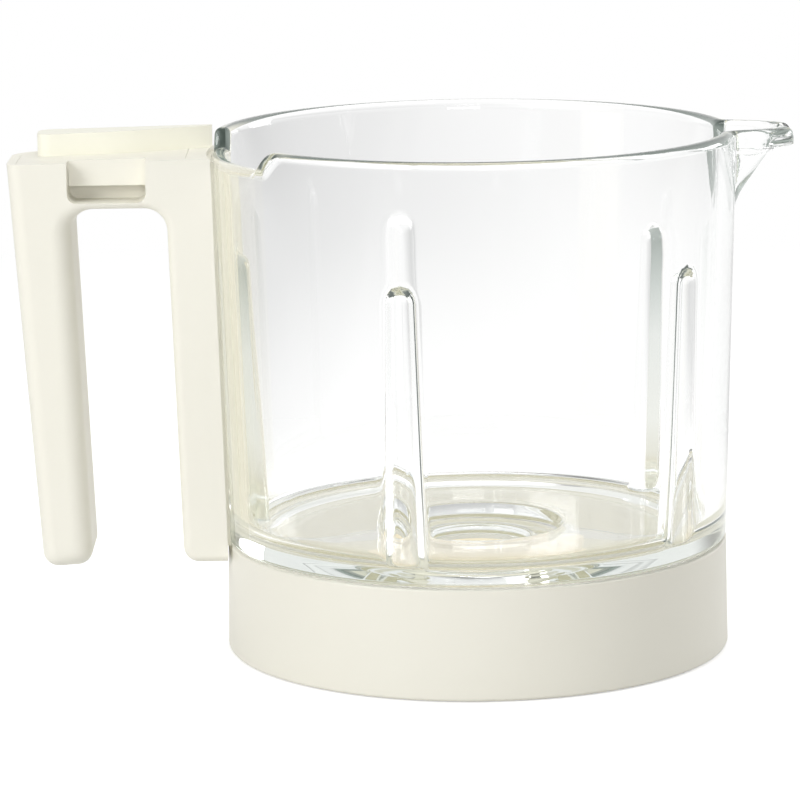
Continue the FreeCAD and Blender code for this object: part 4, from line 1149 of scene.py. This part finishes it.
@dataclass
class TurnBase:
    """Base that turns off the glass: ring, gasket, hub, seal and screws."""

    ring: MouldedPlastic = IVORY
    hub: MouldedPlastic = SHADE_WARMED_IVORY
    soft: SoftRubber = SOFT
    steel: TurnedSteel = STEEL
    screw_angles: tuple[float, ...] = (0.0, 120.0, 240.0)
    screw_circle: float = 24.8
    shank_radius: float = 1.5
    shank_length: float = 11.0
    head_radius: float = 2.8
    head_height: float = 1.9
    head_round: float = 0.5
    cross_long: float = 3.2
    cross_wide: float = 0.8
    cross_deep: float = 1.0
    web_under: float = 8.05
    overlap: float = 0.1
    sides: int = 40
    sharp: float = 35.0
    weld: float = 0.001

    def rod(self, radius: float, low: float, high: float) -> bpy.types.Object:
        """Upright round rod on the origin's axis.

        Args:
            radius: its radius in millimetres.
            low: level of its lower end.
            high: level of its upper end.

        Returns:
            The rod.
        """
        bpy.ops.object.select_all(action="DESELECT")
        bpy.ops.mesh.primitive_cylinder_add(vertices=self.sides, radius=radius * MM, depth=(high - low) * MM,
                                            location=(0.0, 0.0, (low + high) / 2 * MM))
        return bpy.context.active_object

    def head(self) -> bpy.types.Object:
        """Screw head with a rounded edge and a cross recess below.

        Returns:
            The head.
        """
        low = self.web_under - self.head_height
        head = self.rod(self.head_radius, low, self.web_under)
        edge = head.modifiers.new("edge", "BEVEL")
        edge.width, edge.segments, edge.limit_method = self.head_round * MM, 4, "ANGLE"
        bpy.ops.object.modifier_apply(modifier=edge.name)
        for long, wide in ((self.cross_long, self.cross_wide), (self.cross_wide, self.cross_long)):
            bpy.ops.object.select_all(action="DESELECT")
            bpy.ops.mesh.primitive_cube_add(size=1.0, location=(0.0, 0.0, low * MM),
                                            scale=(long * MM, wide * MM, 2 * self.cross_deep * MM))
            bar = bpy.context.active_object
            bpy.context.view_layer.objects.active = head
            cut = head.modifiers.new("cut", "BOOLEAN")
            cut.operation, cut.object, cut.solver = "DIFFERENCE", bar, "EXACT"
            bpy.ops.object.modifier_apply(modifier=cut.name)
            bpy.data.objects.remove(bar)
        return head

    def build(self) -> bpy.types.Object:
        """Makes one screw and copies it round the hub.

        Returns:
            The screws as one piece.
        """
        head = self.head()
        shank = self.rod(self.shank_radius, self.web_under - self.overlap, self.web_under + self.shank_length)
        place = Matrix.Translation((self.screw_circle * MM, 0.0, 0.0))
        screws = []
        for angle in self.screw_angles:
            for part in (head, shank):
                copy = part.copy()
                copy.data = part.data.copy()
                bpy.context.scene.collection.objects.link(copy)
                turn = Matrix.Rotation(math.radians(angle), 4, "Z")
                copy.data.transform(turn @ place @ part.matrix_world)
                copy.matrix_world = Matrix()
                screws.append(copy)
        for part in (head, shank):
            bpy.data.objects.remove(part)
        bpy.ops.object.select_all(action="DESELECT")
        for screw in screws:
            screw.select_set(True)
        bpy.context.view_layer.objects.active = screws[0]
        bpy.ops.object.join()
        piece = bpy.context.active_object
        piece.name = "cross_screws"
        bpy.ops.object.mode_set(mode="EDIT")
        bpy.ops.mesh.select_all(action="SELECT")
        bpy.ops.mesh.remove_doubles(threshold=self.weld * MM)
        bpy.ops.mesh.normals_make_consistent(inside=False)
        bpy.ops.object.mode_set(mode="OBJECT")
        bpy.ops.object.shade_smooth_by_angle(angle=math.radians(self.sharp))
        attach(piece, "base")
        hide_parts("hub_screws")
        log.info("%s modelled: %d faces", piece.name, len(piece.data.polygons))
        return piece

    def dress(self, shelf: Shelf, screws: bpy.types.Object) -> None:
        """Dresses the pieces of the base.

        Args:
            shelf: the finishes.
            screws: the screws with their cross recess.
        """
        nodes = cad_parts
        for piece, finish in ((nodes["base_ring"], self.ring), (nodes["hub_insert"], self.hub),
                              (nodes["foot_gasket"], self.soft), (nodes["hub_seal"], self.soft),
                              (nodes["hub_screws"], self.steel), (screws, self.steel)):
            shelf.dress(piece, finish)


@dataclass(frozen=True)
class Lamp:
    """Soft square lamp: place, side and what it faces in metres, power in watts."""

    name: str
    place: tuple[float, float, float]
    side: float
    power: float
    faces: tuple[float, float, float] = (0.0, 0.0, 0.06)

    def build(self) -> None:
        """Hangs the lamp, out of the camera's sight."""
        data = bpy.data.lights.new(self.name, "AREA")
        data.size = self.side
        data.energy = self.power
        lamp = bpy.data.objects.new(self.name, data)
        bpy.context.scene.collection.objects.link(lamp)
        lamp.location = self.place
        toward = Vector(self.faces) - Vector(self.place)
        lamp.rotation_euler = toward.to_track_quat("-Z", "Y").to_euler()
        lamp.visible_camera = False
        log.info("lamp %s hung", self.name)


@dataclass
class Studio:
    """Camera, floor, surroundings and soft lamps, in metres and degrees."""

    # Camera
    lens: float = 185.5
    sensor: float = 36.0
    clip: tuple[float, float] = (0.05, 50.0)
    place: tuple[float, float, float] = (-0.0236, -1.0618, 0.26775)
    pitch: float = 10.836
    yaw: float = 0.202
    roll: float = -0.778
    # Floor, with the distances over which it turns white to the eye and to bent light
    floor_half: float = 6.0
    floor_drop: float = 0.0002
    floor_colour: Colour = (0.75, 0.75, 0.75, 1.0)
    floor_glow: float = 0.52
    white_seen: tuple[float, float] = (0.3, 0.7)
    white_bent: tuple[float, float] = (0.15, 0.3)
    bright: float = 1.05
    # Painted shade on the floor, a grey that only bent light meets: towards the camera, at both sides and
    # under a slanting veil
    grey: Colour = (0.115, 0.119, 0.119, 1.0)
    front_floor: tuple[float, float] = (0.15, 0.9)
    front_shade: float = 0.5
    side_floor: tuple[float, float] = (0.5, 1.0)
    veil: float = 0.116
    veil_slope: float = 1.1
    veil_lean: float = 2.1
    veil_edge: tuple[float, float] = (0.34, 0.84)
    veil_most: float = 0.32
    # Surroundings by direction, for bent light, and their level for matte faces
    flag: float = 0.9
    flag_edge: tuple[float, float] = (0.7, 0.9)
    flag_top: tuple[float, float] = (0.3, 0.6)
    front: float = 0.3
    front_edge: tuple[float, float] = (-0.7, -0.05)
    ceiling: float = 0.85
    ceiling_edge: tuple[float, float] = (0.3, 0.85)
    box_toward: tuple[float, float, float] = (-0.62, -0.62, 0.48)
    box_edge: tuple[float, float] = (0.84, 0.92)
    ambient: float = 0.36
    through: float = 1.5
    lamps: tuple[Lamp, ...] = (
        Lamp("key", (-1.15, -1.2, 0.9), 0.9, 15.9), Lamp("fill", (0.1, -1.75, 0.38), 0.5, 4.5),
        Lamp("top", (0.3, 0.35, 1.65), 1.4, 11.5), Lamp("edge", (1.2, 0.8, 0.3), 0.5, 4.0))

    def camera(self) -> None:
        """Sets the camera at the viewing angle."""
        data = bpy.data.cameras.new("camera")
        data.lens = self.lens
        data.sensor_width = self.sensor
        data.clip_start, data.clip_end = self.clip
        camera = bpy.data.objects.new("camera", data)
        bpy.context.scene.collection.objects.link(camera)
        pitch, yaw, roll = (math.radians(v) for v in (self.pitch, self.yaw, self.roll))
        ahead = Vector((math.sin(yaw) * math.cos(pitch), math.cos(yaw) * math.cos(pitch), -math.sin(pitch)))
        level = Vector((math.cos(yaw), -math.sin(yaw), 0.0))
        rise = level.cross(ahead)
        right = level * math.cos(roll) + rise * math.sin(roll)
        up = rise * math.cos(roll) - level * math.sin(roll)
        turn = Matrix((right, up, -ahead)).transposed()
        camera.matrix_world = Matrix.Translation(self.place) @ turn.to_4x4()
        bpy.context.scene.camera = camera

    @staticmethod
    def rays(graph: Graph) -> tuple[Wire, Wire, Wire]:
        """Tells what kind of ray asks for a colour.

        Args:
            graph: the graph that asks.

        Returns:
            Masks for rays from the camera, for mirrored or refracted ones that the eye follows, and
            for light that comes through the glass onto a matte face.
        """
        path = graph.node("ShaderNodeLightPath").outputs
        direct, mirrored, refracted = (
            Wire(graph, path[name]) for name in ("Is Camera Ray", "Is Glossy Ray", "Is Transmission Ray"))
        lit = graph.above(path["Diffuse Depth"], 0.5)
        return direct, (mirrored | refracted) * (1.0 - lit), refracted * lit

    def field(self, graph: Graph) -> Wire:
        """Bright field behind the bowl, darker in front and above, dark at both sides, with one soft box.

        Args:
            graph: the world's graph.

        Returns:
            Level of light from every direction.
        """
        toward = graph.wire("ShaderNodeTexCoord", "Generated")
        along, across, rise = graph.split(toward)
        below = 1.0 - graph.step(rise, *self.flag_top)
        sides = graph.step(graph.size(along), *self.flag_edge) * below * self.flag
        room = self.front + (1.0 - self.front) * graph.step(across, *self.front_edge)
        lid = 1.0 - graph.step(rise, *self.ceiling_edge) * self.ceiling
        aim = graph.wire("ShaderNodeVectorMath", "Value", {"operation": "DOT_PRODUCT"},
                         {0: toward, 1: Vector(self.box_toward).normalized()})
        return (room * lid * (1.0 - sides)) | graph.step(aim, *self.box_edge)

    def world(self) -> None:
        """Makes the surroundings white to the eye, with the field for the glass."""
        world = bpy.data.worlds.new("surroundings")
        bpy.context.scene.world = world
        world.use_nodes = True
        graph = Graph(world.node_tree)
        direct, bent, passed = self.rays(graph)
        plain = (1.0 - direct - bent - passed) * self.ambient
        level = direct + bent * self.field(graph) + passed * self.through + plain
        back = graph.node("ShaderNodeBackground", None, {"Color": level, "Strength": 1.0})
        graph.node("ShaderNodeOutputWorld", None, {"Surface": back.outputs[0]})

    def floor_shade(self, graph: Graph, place: Wire) -> Wire:
        """Painted grey on the floor that only bent light meets, as painted shade in the glass.

        Args:
            graph: the floor's graph.
            place: places on the floor.

        Returns:
            Share of grey.
        """
        along, across, _ = graph.split(place)
        veil = self.veil - along * self.veil_slope
        veil = veil * graph.step(across - along * self.veil_lean, *self.veil_edge)
        veil = graph.wire("ShaderNodeClamp", 0, None, {"Value": veil, "Min": 0.0, "Max": self.veil_most})
        front = graph.step(-1.0 * across, *self.front_floor) * self.front_shade
        sides = graph.step(graph.size(along), *self.side_floor) * self.flag
        return front | sides | veil

    def floor_finish(self) -> bpy.types.Material:
        """Pale floor that keeps the shadow near the bowl and turns white far away.

        Returns:
            The material.
        """
        material, graph = new_material("pale_floor")
        direct, bent, _ = self.rays(graph)
        place = graph.wire("ShaderNodeTexCoord", "Object")
        away = graph.wire("ShaderNodeVectorMath", "Value", {"operation": "LENGTH"}, {0: place})
        matte = graph.node("ShaderNodeBsdfDiffuse", None, {"Color": self.floor_colour}).outputs[0]
        glow = graph.glow(WHITE, self.floor_glow)
        pale = graph.node("ShaderNodeAddShader", None, {0: matte, 1: glow}).outputs[0]
        seen = graph.blend(direct | bent, matte, pale)
        white = graph.glow(direct + bent * self.bright, 1.0)
        distant = direct * graph.step(away, *self.white_seen) + bent * graph.step(away, *self.white_bent)
        far = graph.blend(distant, seen, white)
        # Bent rays meet the painted grey, which shows in the glass as painted shade; the eye sees the floor
        # without it
        whole = graph.blend(bent * self.floor_shade(graph, place), far, graph.glow(self.grey, 1.0))
        graph.node("ShaderNodeOutputMaterial", None, {"Surface": whole})
        return material

    def floor(self) -> None:
        """Lays the floor just below the base."""
        bpy.ops.object.select_all(action="DESELECT")
        bpy.ops.mesh.primitive_plane_add(size=2 * self.floor_half)
        floor = bpy.context.active_object
        floor.name = "floor"
        for vertex in floor.data.vertices:
            vertex.co.z = -self.floor_drop
        floor.data.materials.append(self.floor_finish())

    def build(self) -> None:
        """Sets up the whole studio."""
        bpy.context.scene.view_settings.view_transform = "Standard"
        self.camera()
        self.world()
        self.floor()
        for lamp in self.lamps:
            lamp.build()
        log.info("studio set")


def main() -> None:
    """Builds the pieces, dresses them and sets the studio."""
    logging.basicConfig(level=logging.INFO, format="%(name)s: %(message)s")
    shelf = Shelf()
    glass = GlassBowl()
    glass.dress(shelf, glass.build())
    Handle().dress(shelf)
    base = TurnBase()
    base.dress(shelf, base.build())
    Studio().build()


if __name__ == "__main__":
    main()
